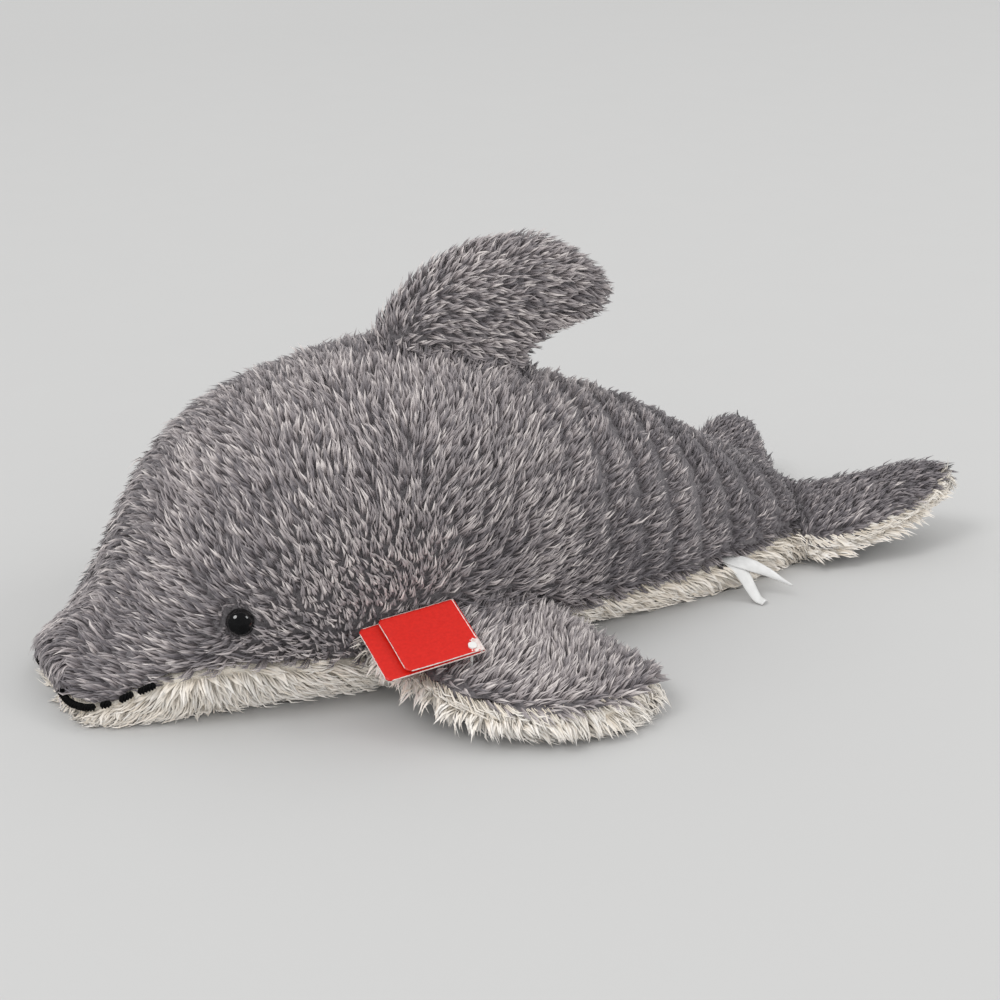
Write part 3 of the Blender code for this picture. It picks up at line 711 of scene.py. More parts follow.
@dataclass
class Skin:
    """Stuffed cloth skin of one furry node, sunk below the pile's mean height."""

    node: str
    finish: SkinFinish
    form: Form
    inset: float = 0.0036
    voxel: float = 0.0055
    fill: float = 0.7

    def build(self) -> None:
        """Model the skin, and let it stand for its node."""
        mesh = remeshed(merged_node(self.node), self.voxel)
        places, normals = vertex_rows(mesh, "co"), vertex_rows(mesh, "normal")
        sink = np.empty(len(places))
        for i, (place, normal) in enumerate(zip(places, normals)):
            spot, out = Vector(place), Vector(normal)
            if self.form.cover(self.node, spot, out, 0.004):
                sink[i] = 0.0004
            else:
                sink[i] = min(self.inset, 0.42 * self.form.thickness(self.node, spot, out))
        places -= normals * sink[:, None]
        mesh.vertices.foreach_set("co", places.astype(np.float32).ravel())
        bm = bmesh.new()
        bm.from_mesh(mesh)
        bpy.data.meshes.remove(mesh)
        for _ in range(2):
            bmesh.ops.smooth_vert(bm, verts=bm.verts, factor=0.4, use_axis_x=True,
                                  use_axis_y=True, use_axis_z=True)
        for vert in bm.verts:
            vert.co.z = max(vert.co.z, FLOOR_CLEARANCE)
        skin = new_piece("skin_" + self.node, mesh_of("skin_" + self.node, bm), self.finish)
        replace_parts(skin, self.node)


class Spike:
    """Template of one bundle of fibres: a closed three-sided taper with one bend."""

    BEND = 0.58
    ROOT_WIDTH = 0.42
    FLATNESS = 0.7
    LEAST_RISE = 0.20

    def __init__(self) -> None:
        """Shape the template."""
        bm = bmesh.new()
        bmesh.ops.create_cone(bm, cap_ends=True, segments=3, radius1=1.0, radius2=0.0, depth=1.0)
        bmesh.ops.translate(bm, verts=bm.verts, vec=(0, 0, 0.5))
        bmesh.ops.bisect_plane(bm, geom=bm.verts[:] + bm.edges[:] + bm.faces[:], dist=0.0001,
                               plane_co=(0, 0, self.BEND), plane_no=(0, 0, 1))
        bmesh.ops.remove_doubles(bm, verts=bm.verts, dist=0.0001)
        bmesh.ops.triangulate(bm, faces=bm.faces)
        bmesh.ops.recalc_face_normals(bm, faces=bm.faces)
        places = np.array([vert.co[:] for vert in bm.verts])
        self.faces = np.array([[vert.index for vert in face.verts] for face in bm.faces])
        bm.free()
        self.along = places[:, 2]
        radius = np.maximum(1 - self.along, 1e-6)
        self.ring = places[:, :2] / radius[:, None]
        self.ring[self.along > 0.99] = 0.0
        self.widths = np.where(self.along < 0.01, self.ROOT_WIDTH, 1.0)

    def stamp(self, name: str, roots: Rows, bends: Rows, tips: Rows,
              outward: Rows, widths: Rows, tones: Rows,
              settle: Callable[[Rows], Rows], softness: float) -> Mesh:
        """Make a mesh with one spike for each row of the arrays.

        Args:
            name: The mesh's name.
            roots: Where each spike starts.
            bends: Where it bends.
            tips: Where it ends.
            outward: Unit vectors away from the skin.
            widths: Half widths at the bend.
            tones: Tone of each spike, from 0 to 1.
            settle: Moves points that would lie in the floor or in trim.
            softness: Share of the skin's normal, raised to the light, in the shading normals.

        Returns:
            The mesh, with the pile's UV map.
        """
        count = len(roots)
        across = unit(np.cross(outward, tips - roots))
        upward = unit(np.cross(tips - roots, across))
        ring = np.where(self.along < 0.01, 0, np.where(self.along < 0.99, 1, 2))
        centres = np.stack([roots, bends, tips], axis=1)[:, ring]
        spread = widths[:, None, None] * self.widths[None, :, None]
        points = (centres + across[:, None] * self.ring[None, :, :1] * spread
                  + upward[:, None] * self.ring[None, :, 1:] * spread * self.FLATNESS)
        points = settle(points.reshape(-1, 3))
        corners = (self.faces[None] + np.arange(count)[:, None, None] * len(self.along)).ravel()
        mesh = bpy.data.meshes.new(name)
        mesh.vertices.add(len(points))
        mesh.vertices.foreach_set("co", points.astype(np.float32).ravel())
        total = count * len(self.faces)
        mesh.loops.add(total * 3)
        mesh.loops.foreach_set("vertex_index", corners.astype(np.int32))
        mesh.polygons.add(total)
        mesh.polygons.foreach_set("loop_start", np.arange(total, dtype=np.int32) * 3)
        mesh.polygons.foreach_set("use_smooth", np.ones(total, bool))
        uv = mesh.uv_layers.new(name=PILE_UV)
        u = np.clip(self.along[self.faces].ravel(), 0.01, 0.99)
        pairs = np.stack([np.tile(u, count), np.repeat(tones, len(u))], axis=1)
        uv.data.foreach_set("uv", pairs.astype(np.float32).ravel())
        mesh.update()
        mesh.validate()
        own = points - centres.reshape(-1, 3)
        lit = unit(outward + np.array([0.0, 0.0, 1.0]) * np.clip(self.LEAST_RISE - outward[:, 2:], 0, None))
        soft = unit(np.repeat(lit, len(self.along), axis=0) * softness + unit(own) * (1 - softness))
        mesh.normals_split_custom_set_from_vertices(soft)
        return mesh


@dataclass
class Trim:
    """The small pieces that the pile keeps clear of, and the floor it lies on."""

    PARTING_REACH = 0.007
    YARN_GAP = 0.0015
    CARD_GAP = 0.0006

    eyes: list[Vector]
    yarn: Rows
    tag: Matrix
    tag_size: tuple[float, float]
    eye_radius: float = 0.0088
    yarn_reach: float = 0.0022

    def openness(self, places: Rows) -> Rows:
        """How freely pile can stand at each place.

        Args:
            places: The places.

        Returns:
            1 in the open, and down to a half beside eyes and yarn.
        """
        free = np.ones(len(places))
        for eye in self.eyes:
            away = np.linalg.norm(places - np.array(eye), axis=1)
            free = np.minimum(free, np.clip((away - self.eye_radius * 0.8) / self.PARTING_REACH, 0, 1) * 0.5 + 0.5)
        for point in self.yarn:
            away = np.linalg.norm(places - point, axis=1)
            free = np.minimum(free, np.clip((away - self.YARN_GAP) / 0.005, 0, 1) * 0.5 + 0.5)
        return free

    def parting(self, places: Rows) -> Rows:
        """How strongly pile is turned away from an eye beside it.

        Args:
            places: The places.

        Returns:
            A vector to add to each place's direction.
        """
        turned = np.zeros(places.shape)
        for eye in self.eyes:
            away = places - np.array(eye)
            far = np.linalg.norm(away, axis=1)
            share = np.clip(1 - (far - self.eye_radius) / self.PARTING_REACH, 0, 1)
            turned += unit(away) * share[:, None] * 0.9
        return turned

    def kept(self, roots: Rows, bends: Rows, tips: Rows) -> Rows:
        """Which spikes stay.

        Args:
            roots: Where the spikes start.
            bends: Where they bend.
            tips: Where they end.

        Returns:
            False for each spike that would pass through an eye, the yarn or the tag.
        """
        keep = np.ones(len(roots), bool)
        for points in (bends, tips, (bends + tips) / 2):
            for eye in self.eyes:
                keep &= np.linalg.norm(points - np.array(eye), axis=1) > self.eye_radius * 0.90
            for point in self.yarn:
                keep &= np.linalg.norm(points - point, axis=1) > self.yarn_reach
        return keep

    def settle(self, points: Rows) -> Rows:
        """Move points out of the floor, and out of the tag to just below it.

        Args:
            points: The points, which are changed.

        Returns:
            The same points.
        """
        low = points[:, 2] < FLOOR_CLEARANCE * 3
        points[low, 2] = FLOOR_CLEARANCE * (1 + 2 * np.modf(np.abs(points[low, 0]) * 3571.0)[0])
        turn = np.array(self.tag.to_3x3())
        local = (points - np.array(self.tag.translation)) @ turn
        length, width = self.tag_size
        inside = ((local[:, 0] > -length - 0.001) & (local[:, 0] < 0.003)
                  & (local[:, 1] > -0.001) & (local[:, 1] < width + 0.001)
                  & (local[:, 2] > -self.CARD_GAP) & (local[:, 2] < 0.012))
        local[inside, 2] = -self.CARD_GAP - 0.001 * np.modf(np.abs(local[inside, 0]) * 4751.0)[0]
        points[inside] = local[inside] @ turn.T + np.array(self.tag.translation)
        return points


class Brush:
    """The lie of the pile on each kind of panel, as directions that are then laid on the skin.

    The tables run over the distance behind the nose, apart from the flipper's, which run out
    to its tip and back from its front. The flank's angles turn from straight up towards the
    nose, and the fin's from straight back upwards, all in degrees.
    """

    BACKS = (0.00, 0.04, 0.07, 0.10, 0.16, 0.195, 0.23, 0.30, 0.36, 0.46, 0.56)
    HIGH = (22, 14, 2, -6, -4, 0, -26, -28, -34, -38, -45)
    LOW = (68, 70, 80, 42, 26, 20, -36, -44, -48, -52, -60)
    PARTING = ((0.00, 0.05, 0.10, 0.20, 0.35, 0.50, 0.60), (0.032, 0.050, 0.060, 0.066, 0.055, 0.034, 0.024))
    PARTING_WIDTH = 0.045
    CHIN = ((0.0, 0.035, 0.08, 0.14, 0.3, 0.55), (-1.0, -0.8, -0.1, 0.7, 1.0, 1.1))
    FIN_LEAD = ((0.200, 0.226, 0.254, 0.292, 0.334, 0.372, 0.402),
                (0.150, 0.203, 0.234, 0.252, 0.254, 0.240, 0.211))
    FIN_TRAIL = ((0.200, 0.330, 0.336, 0.347, 0.362, 0.378, 0.394, 0.402),
                 (0.120, 0.130, 0.165, 0.179, 0.185, 0.188, 0.195, 0.205))
    FIN_TOP = ((0.20, 0.24, 0.28, 0.33, 0.38, 0.40), (88, 78, 58, 40, 22, 5))
    FIN_MIDDLE = ((0.20, 0.24, 0.27, 0.40), (80, 32, 2, -4))
    FIN_LOW = ((0.20, 0.26, 0.33, 0.36, 0.40), (80, 40, -25, -55, -35))
    FLIPPER_FRONT = ((0.06, 0.108, 0.147, 0.183, 0.209, 0.216), (0.156, 0.164, 0.177, 0.200, 0.236, 0.276))
    FLIPPER_TURN = ((0.0, 0.12, 0.35, 1.0), (-0.25, 0.15, 0.65, 1.15))
    FLIPPER_MIDDLE = (0.235, 0.115)
    FLUKE_ROOT = 0.545
    FLUKE_MIDDLE_Y = 0.01

    def __init__(self, form: Form) -> None:
        """Keep the form that the pile grows on."""
        self.form = form

    def lay(self, nap: Nap, at: Spots) -> Rows:
        """Unit directions along the skin.

        Args:
            nap: The way the panel is brushed.
            at: Where the locks grow.

        Returns:
            The way each lock is brushed.
        """
        ways = {Nap.FLANK: self._flank, Nap.BELLY: self._belly, Nap.DORSAL: self._dorsal,
                Nap.FLIPPER: self._flipper, Nap.FLUKE: self._fluke, Nap.FRINGE: self._fringe,
                Nap.FLUKE_FRINGE: self._fluke_fringe}
        return at.pressed(ways[nap](at))

    def _flank(self, at: Spots) -> Rows:
        """Up the sides: towards the nose at the head, backwards behind the fin.

        Args:
            at: Where the locks grow.

        Returns:
            A direction for each lock.
        """
        side = np.clip((at.y - np.interp(at.back, *self.PARTING)) / self.PARTING_WIDTH, -1, 1)
        climb = unit(np.cross(at.normals, [1.0, 0.0, 0.0])) * -side[:, None]
        ahead = np.array([-1.0, 0.0, 0.0]) + at.normals * at.normals[:, :1]
        share = at.z / self.form.ridge(at.places[:, 0])
        high = np.interp(at.back, self.BACKS, self.HIGH)
        low = np.interp(at.back, self.BACKS, self.LOW)
        turn = np.radians(high + (low - high) * np.clip((0.95 - share) / 0.5, 0, 1.15))
        parted = 0.9 * (1 - np.abs(side)) * np.clip((0.20 - at.back) / 0.03, -1, 1)
        lie = climb * np.cos(turn)[:, None] + unit(ahead) * (np.sin(turn) + parted)[:, None]
        muzzle = (np.clip((0.030 - at.back) / 0.012, 0, 1) * np.clip((at.y + 0.030) / 0.010, 0, 1)
                  * np.clip((0.046 - at.z) / 0.012, 0, 1) * np.clip((at.z - 0.006) / 0.006, 0, 1))[:, None]
        return lie * (1 - muzzle) + np.array([-0.1, 0.0, -1.0]) * muzzle

    def _belly(self, at: Spots) -> Rows:
        """Down and forwards at the chin, down and backwards behind the cheek.

        Args:
            at: Where the locks grow.

        Returns:
            A direction for each lock.
        """
        down = np.interp(at.back, [0.0, 0.05], [-1.3, -0.7])
        return np.column_stack([np.interp(at.back, *self.CHIN), np.sign(at.y) * 0.5, down])

    def _dorsal(self, at: Spots) -> Rows:
        """Up along the fin's leading edge, backwards over its sides and down at its trailing edge.

        Args:
            at: Where the locks grow.

        Returns:
            A direction for each lock.
        """
        lead, trail, top, middle, low = (
            np.interp(at.back, *table)
            for table in (self.FIN_LEAD, self.FIN_TRAIL, self.FIN_TOP, self.FIN_MIDDLE, self.FIN_LOW))
        share = np.clip((at.z - trail) / np.maximum(lead - trail, 0.004), 0, 1)
        angle = np.where(share > 0.72, middle + (top - middle) * (share - 0.72) / 0.28,
                         np.where(share < 0.22, low + (middle - low) * share / 0.22, middle))
        cos, sin = np.cos(np.radians(angle)), np.sin(np.radians(angle))
        return np.column_stack([cos / 0.875, np.zeros(len(angle)), (sin - 0.208 * cos) / 0.927])

    def _flipper(self, at: Spots) -> Rows:
        """From a flipper's front edge towards its rear edge, and out to its tip.

        Args:
            at: Where the locks grow.

        Returns:
            A direction for each lock.
        """
        out = np.abs(at.y)
        front = np.interp(out, *self.FLIPPER_FRONT)
        share = np.clip((at.back - front) / 0.10, 0, 1) * np.clip((0.235 - out) / 0.07, 0.25, 1)
        inward = -np.sign(at.y) * np.interp(share, *self.FLIPPER_TURN)
        return np.column_stack([np.full(len(out), 0.85), inward, np.full(len(out), -0.05)])

    def _fluke(self, at: Spots) -> Rows:
        """Back from the crease at the fluke's root, turning out along each lobe.

        Args:
            at: Where the locks grow.

        Returns:
            A direction for each lock.
        """
        share = np.clip((at.back - self.FLUKE_ROOT) / 0.06, 0, 1)
        outward = np.where(at.y < self.FLUKE_MIDDLE_Y, -1.0, 1.0) * (0.75 * share - 0.30 * (1 - share))
        return np.column_stack([np.ones(len(share)), outward, 0.30 + 0.1 * share])

    def _fringe(self, at: Spots) -> Rows:
        """Down and out round a flipper's white edge.

        Args:
            at: Where the locks grow.

        Returns:
            A direction for each lock.
        """
        back, aside = self.FLIPPER_MIDDLE
        out = at.places - np.array([self.form.nose + back, 0.0, 0.0])
        out[:, 1] -= np.sign(at.y) * aside
        out[:, 2] = 0
        return unit(out) * 0.9 + np.array([0.12, 0.0, -0.75])

    def _fluke_fringe(self, at: Spots) -> Rows:
        """Out along each lobe's white edge, and a little down.

        Args:
            at: Where the locks grow.

        Returns:
            A direction for each lock.
        """
        side = np.where(at.y < self.FLUKE_MIDDLE_Y, -1.0, 1.0)
        return np.column_stack([np.full(len(side), 1.0), side * 0.85, np.full(len(side), -0.12)])


@dataclass
class Coat:
    """Pile of one furry node, in locks of a few spikes.

    Locks stand a pitch apart and lean by the lift, from roots that lie the depth below the
    solid's face. Gather draws a lock's tips together, and waver and swirl turn it aside.
    Softness is the skin's share in the shading. The partner is the node across the seam,
    which overlap leans towards, and beside which a thin coat is longer.
    """

    # Painted light and shade along the toy, added to the tone by distance behind the nose: darker at the snout's
    # tip and towards the tail, lighter over the head and middle.
    PAINTED_LIGHT_ALONG_BODY = ((0.0, 0.12, 0.25, 0.35, 0.45, 0.66), (-0.18, 0.04, 0.07, -0.03, -0.31, -0.38))
    BODY_LENGTHS = ((0.30, 0.42, 0.52), (1.0, 0.80, 0.66))
    SNOUT_LIFTS = ((0.0, 0.025, 0.055), (0.35, 0.65, 1.0))
    TRIES = 7
    SPACING = 0.80
    SMOOTH_ENOUGH = 0.6
    SEAM_REACH = 0.010
    EDGE_REACH = 0.012
    PANEL_REACH = 0.009
    STRAYS = 0.02
    BEND_UP = math.radians(20)
    BEND_DOWN = math.radians(18)
    FIRST_FOLD = 0.325
    FOLD_PITCH = 0.0272
    LAST_FOLD = 7.6
    MOST_TRIANGLES = 190000

    node: str
    finish: PileFinish
    nap: Nap
    form: Form
    trim: Trim
    pitch: float = 0.0042
    spikes: int = 4
    length: float = 0.0155
    lift: float = 30.0
    depth: float = 0.0046
    half_width: float = 0.00078
    spread: float = 0.0017
    gather: float = 0.34
    waver: float = 0.15
    swirl: float = 0.28
    tone: float = 0.45
    softness: float = 0.55
    partner: str = ""
    thin: bool = False
    overlap: float = 0.0
    zone: Zone = Zone.WHOLE
    edge_width: float = 0.006

    def build(self) -> None:
        """Grow the pile, in as many pieces as its size needs."""
        rng = np.random.default_rng([SEED, *self.node.encode()])
        at = self._roots(rng)
        flow = self._flow(at, rng)
        arrays = self._locks(at, flow, rng)
        order = np.argsort(arrays[0][:, 0], kind="stable")
        spike = Spike()
        count = max(1, math.ceil(len(order) * len(spike.faces) / self.MOST_TRIANGLES))
        stem = "pile_" + self.node + ("_edge" if self.zone is Zone.EDGE else "")
        for number, chosen in enumerate(np.array_split(order, count), 1):
            name = stem + (f"_{number}" if count > 1 else "")
            mesh = spike.stamp(name, *[values[chosen] for values in arrays], self.trim.settle, self.softness)
            new_piece(name, mesh, self.finish)

    def _roots(self, rng: np.random.Generator) -> Spots:
        """Find even places for the locks on the node's outer faces.

        Args:
            rng: Source of chance.

        Returns:
            The places.
        """
        bm = merged_node(self.node)
        bmesh.ops.triangulate(bm, faces=bm.faces)
        bm.normal_update()
        corners = np.array([[vert.co[:] for vert in face.verts] for face in bm.faces])
        bends = np.array([[vert.normal[:] for vert in face.verts] for face in bm.faces])
        flat = np.array([face.normal[:] for face in bm.faces])
        areas = np.array([face.calc_area() for face in bm.faces])
        bm.free()
        wanted = int(areas.sum() / self.pitch ** 2 * self.TRIES)
        chosen = rng.choice(len(areas), wanted, p=areas / areas.sum())
        shares = rng.random((wanted, 2))
        over = shares.sum(axis=1) > 1
        shares[over] = 1 - shares[over]
        weights = np.column_stack([1 - shares.sum(axis=1), shares])
        places = (corners[chosen] * weights[:, :, None]).sum(axis=1)
        soft = unit((bends[chosen] * weights[:, :, None]).sum(axis=1))
        agrees = (soft * flat[chosen]).sum(axis=1, keepdims=True) > self.SMOOTH_ENOUGH
        at = Spots(places, unit(np.where(agrees, soft, flat[chosen])), self.form.nose)
        mine = self._in_zone(at)
        return at.picked([i for i in self._spaced(at) if mine[i] and self.form.bears_pile(
            self.node, Vector(at.places[i]), Vector(at.normals[i]))])

    def _faces_front(self, at: Spots) -> Rows:
        """Whether each place is on the side of a fin that looks to the front and out."""
        out = np.full(len(at.y), -1.0) if self.node.startswith("fluke") else np.sign(at.y)
        return -0.4 * at.normals[:, 0] + 0.9 * at.normals[:, 1] * out > -0.05

    def _on_edge(self, at: Spots) -> Rows:
        """Whether each place is where a fin's white edge shows."""
        shows = at.y < 0.0 if self.node.startswith("fluke") else np.abs(at.y) > 0.096
        return shows & self._faces_front(at)

    def _in_zone(self, at: Spots) -> Rows:
        """Find the places in this coat's zone.

        Args:
            at: The places.

        Returns:
            One flag for each place.
        """
        if self.zone is Zone.BEYOND_ROOT:
            root = (np.abs(at.y) < 0.092) & (at.z > 0.016)
            behind = self._near_partner(at, self.SEAM_REACH)[0] > 0
            return ~root & ~(behind & ~self._faces_front(at))
        if self.zone in (Zone.EDGE, Zone.FIELD):
            close = self._near_partner(at, self.edge_width)[0] > 0
            return (close & self._on_edge(at)) == (self.zone is Zone.EDGE)
        if self.node == "belly":
            return ~((at.back < 0.020) & (at.y > -0.024) & (at.z > 0.009))
        return np.ones(len(at.y), bool)

    def _near_partner(self, at: Spots, reach: float) -> tuple[Rows, Rows]:
        """Nearness of the partner within a reach, and the way to it."""
        return self.form.nearness([self.partner], at.places, reach)

    def _spaced(self, at: Spots) -> list[int]:
        """Pick places that aren't too close to each other.

        Args:
            at: The places to choose from.

        Returns:
            Indices of the chosen places.
        """
        places, normals = at.places, at.normals
        grid: dict[tuple, list[int]] = {}
        kept: list[int] = []
        least = (self.pitch * self.SPACING) ** 2
        around = list(itertools.product((-1, 0, 1), repeat=3))
        for i, (a, b, c) in enumerate(np.floor(places / self.pitch).astype(int)):
            close = [j for x, y, z in around for j in grid.get((a + x, b + y, c + z), ())]
            if close:
                gaps = places[close] - places[i]
                if ((np.einsum("ij,ij->i", gaps, gaps) < least) & (normals[close] @ normals[i] > 0)).any():
                    continue
            grid.setdefault((a, b, c), []).append(i)
            kept.append(i)
        return kept

    def _flow(self, at: Spots, rng: np.random.Generator) -> Rows:
        """Brush the locks.

        Args:
            at: The locks' places.
            rng: Source of chance.

        Returns:
            Unit vectors along the skin.
        """
        along = Brush(self.form).lay(self.nap, at)
        aside = np.cross(at.normals, along)
        calm = noise_at(at.places, 26.0) + 0.5 * noise_at(at.places, 70.0)
        angle = self.swirl * 2.0 * calm + rng.normal(0, self.waver, len(along))
        lie = along * np.cos(angle)[:, None] + aside * np.sin(angle)[:, None]
        lie += self.trim.parting(at.places)
        if self.overlap:
            near, towards = self._near_partner(at, self.SEAM_REACH)
            rear = np.clip((at.back - 0.13) / 0.05, 0, 1)
            share = {"body_back": rear, "belly": 1 - rear}.get(self.node)
            if share is None:
                share = self._on_edge(at).astype(float)
            lie += towards * (np.clip(near * 2.4, 0, 1) * self.overlap * share)[:, None]
        return at.pressed(lie)

    def _valleys(self, at: Spots) -> Rows:
        """Find the folds of the slack skin.

        Args:
            at: The places.

        Returns:
            How deep in a fold each place is, from 0 to 1.
        """
        if self.node != "body_back":
            return np.zeros(len(at.y))
        fold = (at.back - self.FIRST_FOLD - 0.008 * np.clip(at.y / 0.09, -1, 1)) / self.FOLD_PITCH
        off = fold - np.round(fold)
        within = np.clip(fold + 0.5, 0, 1) * np.clip((self.LAST_FOLD - fold) / 0.5, 0, 1)
        height = np.clip(at.z / self.form.ridge(at.places[:, 0]), 0.2, 1)
        return np.exp(-(off / 0.17) ** 2) * within * height

    def _locks(self, at: Spots, flow: Rows, rng: np.random.Generator) -> list[Rows]:
        """Decide how each lock stands, and make its spikes.

        Args:
            at: The locks' places.
            flow: The way each lock is brushed.
            rng: Source of chance.

        Returns:
            Roots, bends, tips, outward vectors, half widths and tones of the spikes.
        """
        count = len(flow)
        free = self.trim.openness(at.places)
        fold = self._valleys(at)
        others = [name for name in self.form.trees if name not in (self.node, self.partner)]
        near = self.form.nearness(others, at.places, self.PANEL_REACH)[0]
        cut = np.interp(at.back, *self.BODY_LENGTHS) if self.node == "body_back" else 1.0
        edge = self._near_partner(at, self.EDGE_REACH)[0] if self.thin else np.zeros(count)
        length = self.length * rng.uniform(0.80, 1.18, count) * free * (1 - 0.42 * fold) * cut + 0.0030 * edge
        lift = math.radians(self.lift) * rng.uniform(0.72, 1.28, count) * (0.35 + 0.65 * free) * (1 - 0.35 * fold)
        calm = np.interp(at.back, *self.SNOUT_LIFTS)
        lift = lift * calm + near * math.radians(24) * np.clip(calm * 2 - 1, 0.2, 1)
        depth = self.depth * (1 - 0.55 * near) + 0.0030 * fold + 0.0006 * (1 - calm) + 0.0042 * edge
        # The tone varies at random by lock and by patch. Painted shade lowers it in the skin's folds and near
        # other panels, and the table along the body adds painted light and shade.
        tone = (self.tone + 0.13 * rng.normal(size=count) + 0.24 * noise_at(at.places, 17.0, (5, 3, 1))
                - 0.80 * fold + np.interp(at.back, *self.PAINTED_LIGHT_ALONG_BODY) - 0.25 * near)
        return self._spikes(at, flow, np.column_stack([length, lift, depth, tone, near]), rng)

    def _spikes(self, at: Spots, flow: Rows, locks: Rows,
                rng: np.random.Generator) -> list[Rows]:
        """Make the spikes of all the locks.

        Args:
            at: The locks' places.
            flow: The way each lock is brushed.
            locks: Length, lift, depth, tone and nearness to other panels of each lock.
            rng: Source of chance.

        Returns:
            Roots, bends, tips, outward vectors, half widths and tones of the spikes.
        """
        shape = (len(flow), self.spikes)
        length, lift, depth, tone, near = locks.T[:, :, None]
        slot = np.linspace(-1, 1, self.spikes)[None] + rng.normal(0, 0.18, shape)
        ahead = rng.uniform(-1, 1, shape) * self.spread * 0.7 - near * 0.003
        across = slot * self.spread
        own = rng.normal(0, 1, (*shape, 3))
        reach = length * rng.uniform(0.78, 1.10, shape) * (1 - 0.12 * np.abs(slot))
        stray = rng.random(shape) < self.STRAYS
        reach = reach * (1 + 0.28 * stray)
        rise = lift + own[:, :, 0] * 0.09
        up, down = rise + self.BEND_UP, rise - self.BEND_DOWN
        n, t, s = at.normals[:, None], flow[:, None], np.cross(at.normals, flow)[:, None]
        roots = at.places[:, None] - n * depth[:, None] + s * across[..., None] + t * ahead[..., None]
        bend_shift = -across * 0.25 + own[:, :, 1] * 0.0003
        tip_shift = -across * (1 - self.gather) + own[:, :, 2] * 0.0006
        half = reach * Spike.BEND
        rest = reach - half
        bends = (roots + t * (half * np.cos(up))[..., None] + n * (half * np.sin(up))[..., None]
                 + s * bend_shift[..., None])
        tips = (bends + t * (rest * np.cos(down))[..., None] + n * (rest * np.sin(down))[..., None]
                + s * (tip_shift - bend_shift)[..., None])
        widths = self.half_width * rng.uniform(0.7, 1.25, shape)
        tones = np.clip(tone + rng.normal(0, 0.24, shape) + 0.5 * stray, 0.01, 0.99)
        outward = np.broadcast_to(n, roots.shape)
        arrays = [values.reshape(-1, 3) for values in (roots, bends, tips, outward)]
        arrays += [widths.ravel(), tones.ravel()]
        keep = self.trim.kept(*arrays[:3])
        return [values[keep] for values in arrays]


@dataclass
class Eye:
    """Locking eye: a polished dome, its flange and the start of its shank."""

    side: Side
    foot: Vector = field(default_factory=lambda: Vector((-0.23860, -0.09143, 0.06845)))
    axis: Vector = field(default_factory=lambda: Vector((-0.4286, -0.8858, 0.1780)))
    radius: float = 0.0088
    height: float = 0.0080
    flange: float = 0.0007
    shank_radius: float = 0.0024
    shank_depth: float = 0.0145
    arc_steps: int = 14
    turn_steps: int = 48

    def on_side(self, vector: Vector) -> Vector:
        """A vector of the left eye, mirrored for the right one."""
        return Vector((vector.x, -self.side.value * vector.y, vector.z))

    def build(self) -> None:
        """Model the eye and let it stand for its node."""
        profile = [(self.radius * math.sin(math.pi / 2 * i / self.arc_steps),
                    self.height * math.cos(math.pi / 2 * i / self.arc_steps))
                   for i in range(self.arc_steps + 1)]
        profile += [(self.radius * 0.985, -self.flange), (self.shank_radius, -self.flange * 2),
                    (self.shank_radius, -self.shank_depth), (0.0, -self.shank_depth)]
        profile[0] = (0.0, self.height)
        bm = bmesh.new()
        verts = [bm.verts.new((radius, 0, level)) for radius, level in profile]
        edges = [bm.edges.new(pair) for pair in zip(verts, verts[1:])]
        bmesh.ops.spin(bm, geom=verts + edges, axis=(0, 0, 1), cent=(0, 0, 0),
                       steps=self.turn_steps, angle=2 * math.pi, use_merge=True)
        bmesh.ops.remove_doubles(bm, verts=bm.verts, dist=0.00001)
        turn = self.on_side(self.axis).to_track_quat("Z", "Y").to_matrix().to_4x4()
        matrix = Matrix.Translation(self.on_side(self.foot)) @ turn
        bmesh.ops.transform(bm, matrix=matrix, verts=bm.verts)
        node = "eye_" + self.side.name.lower()
        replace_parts(new_piece(node + "_dome", mesh_of(node + "_dome", bm), EYE_GLOSS), node)


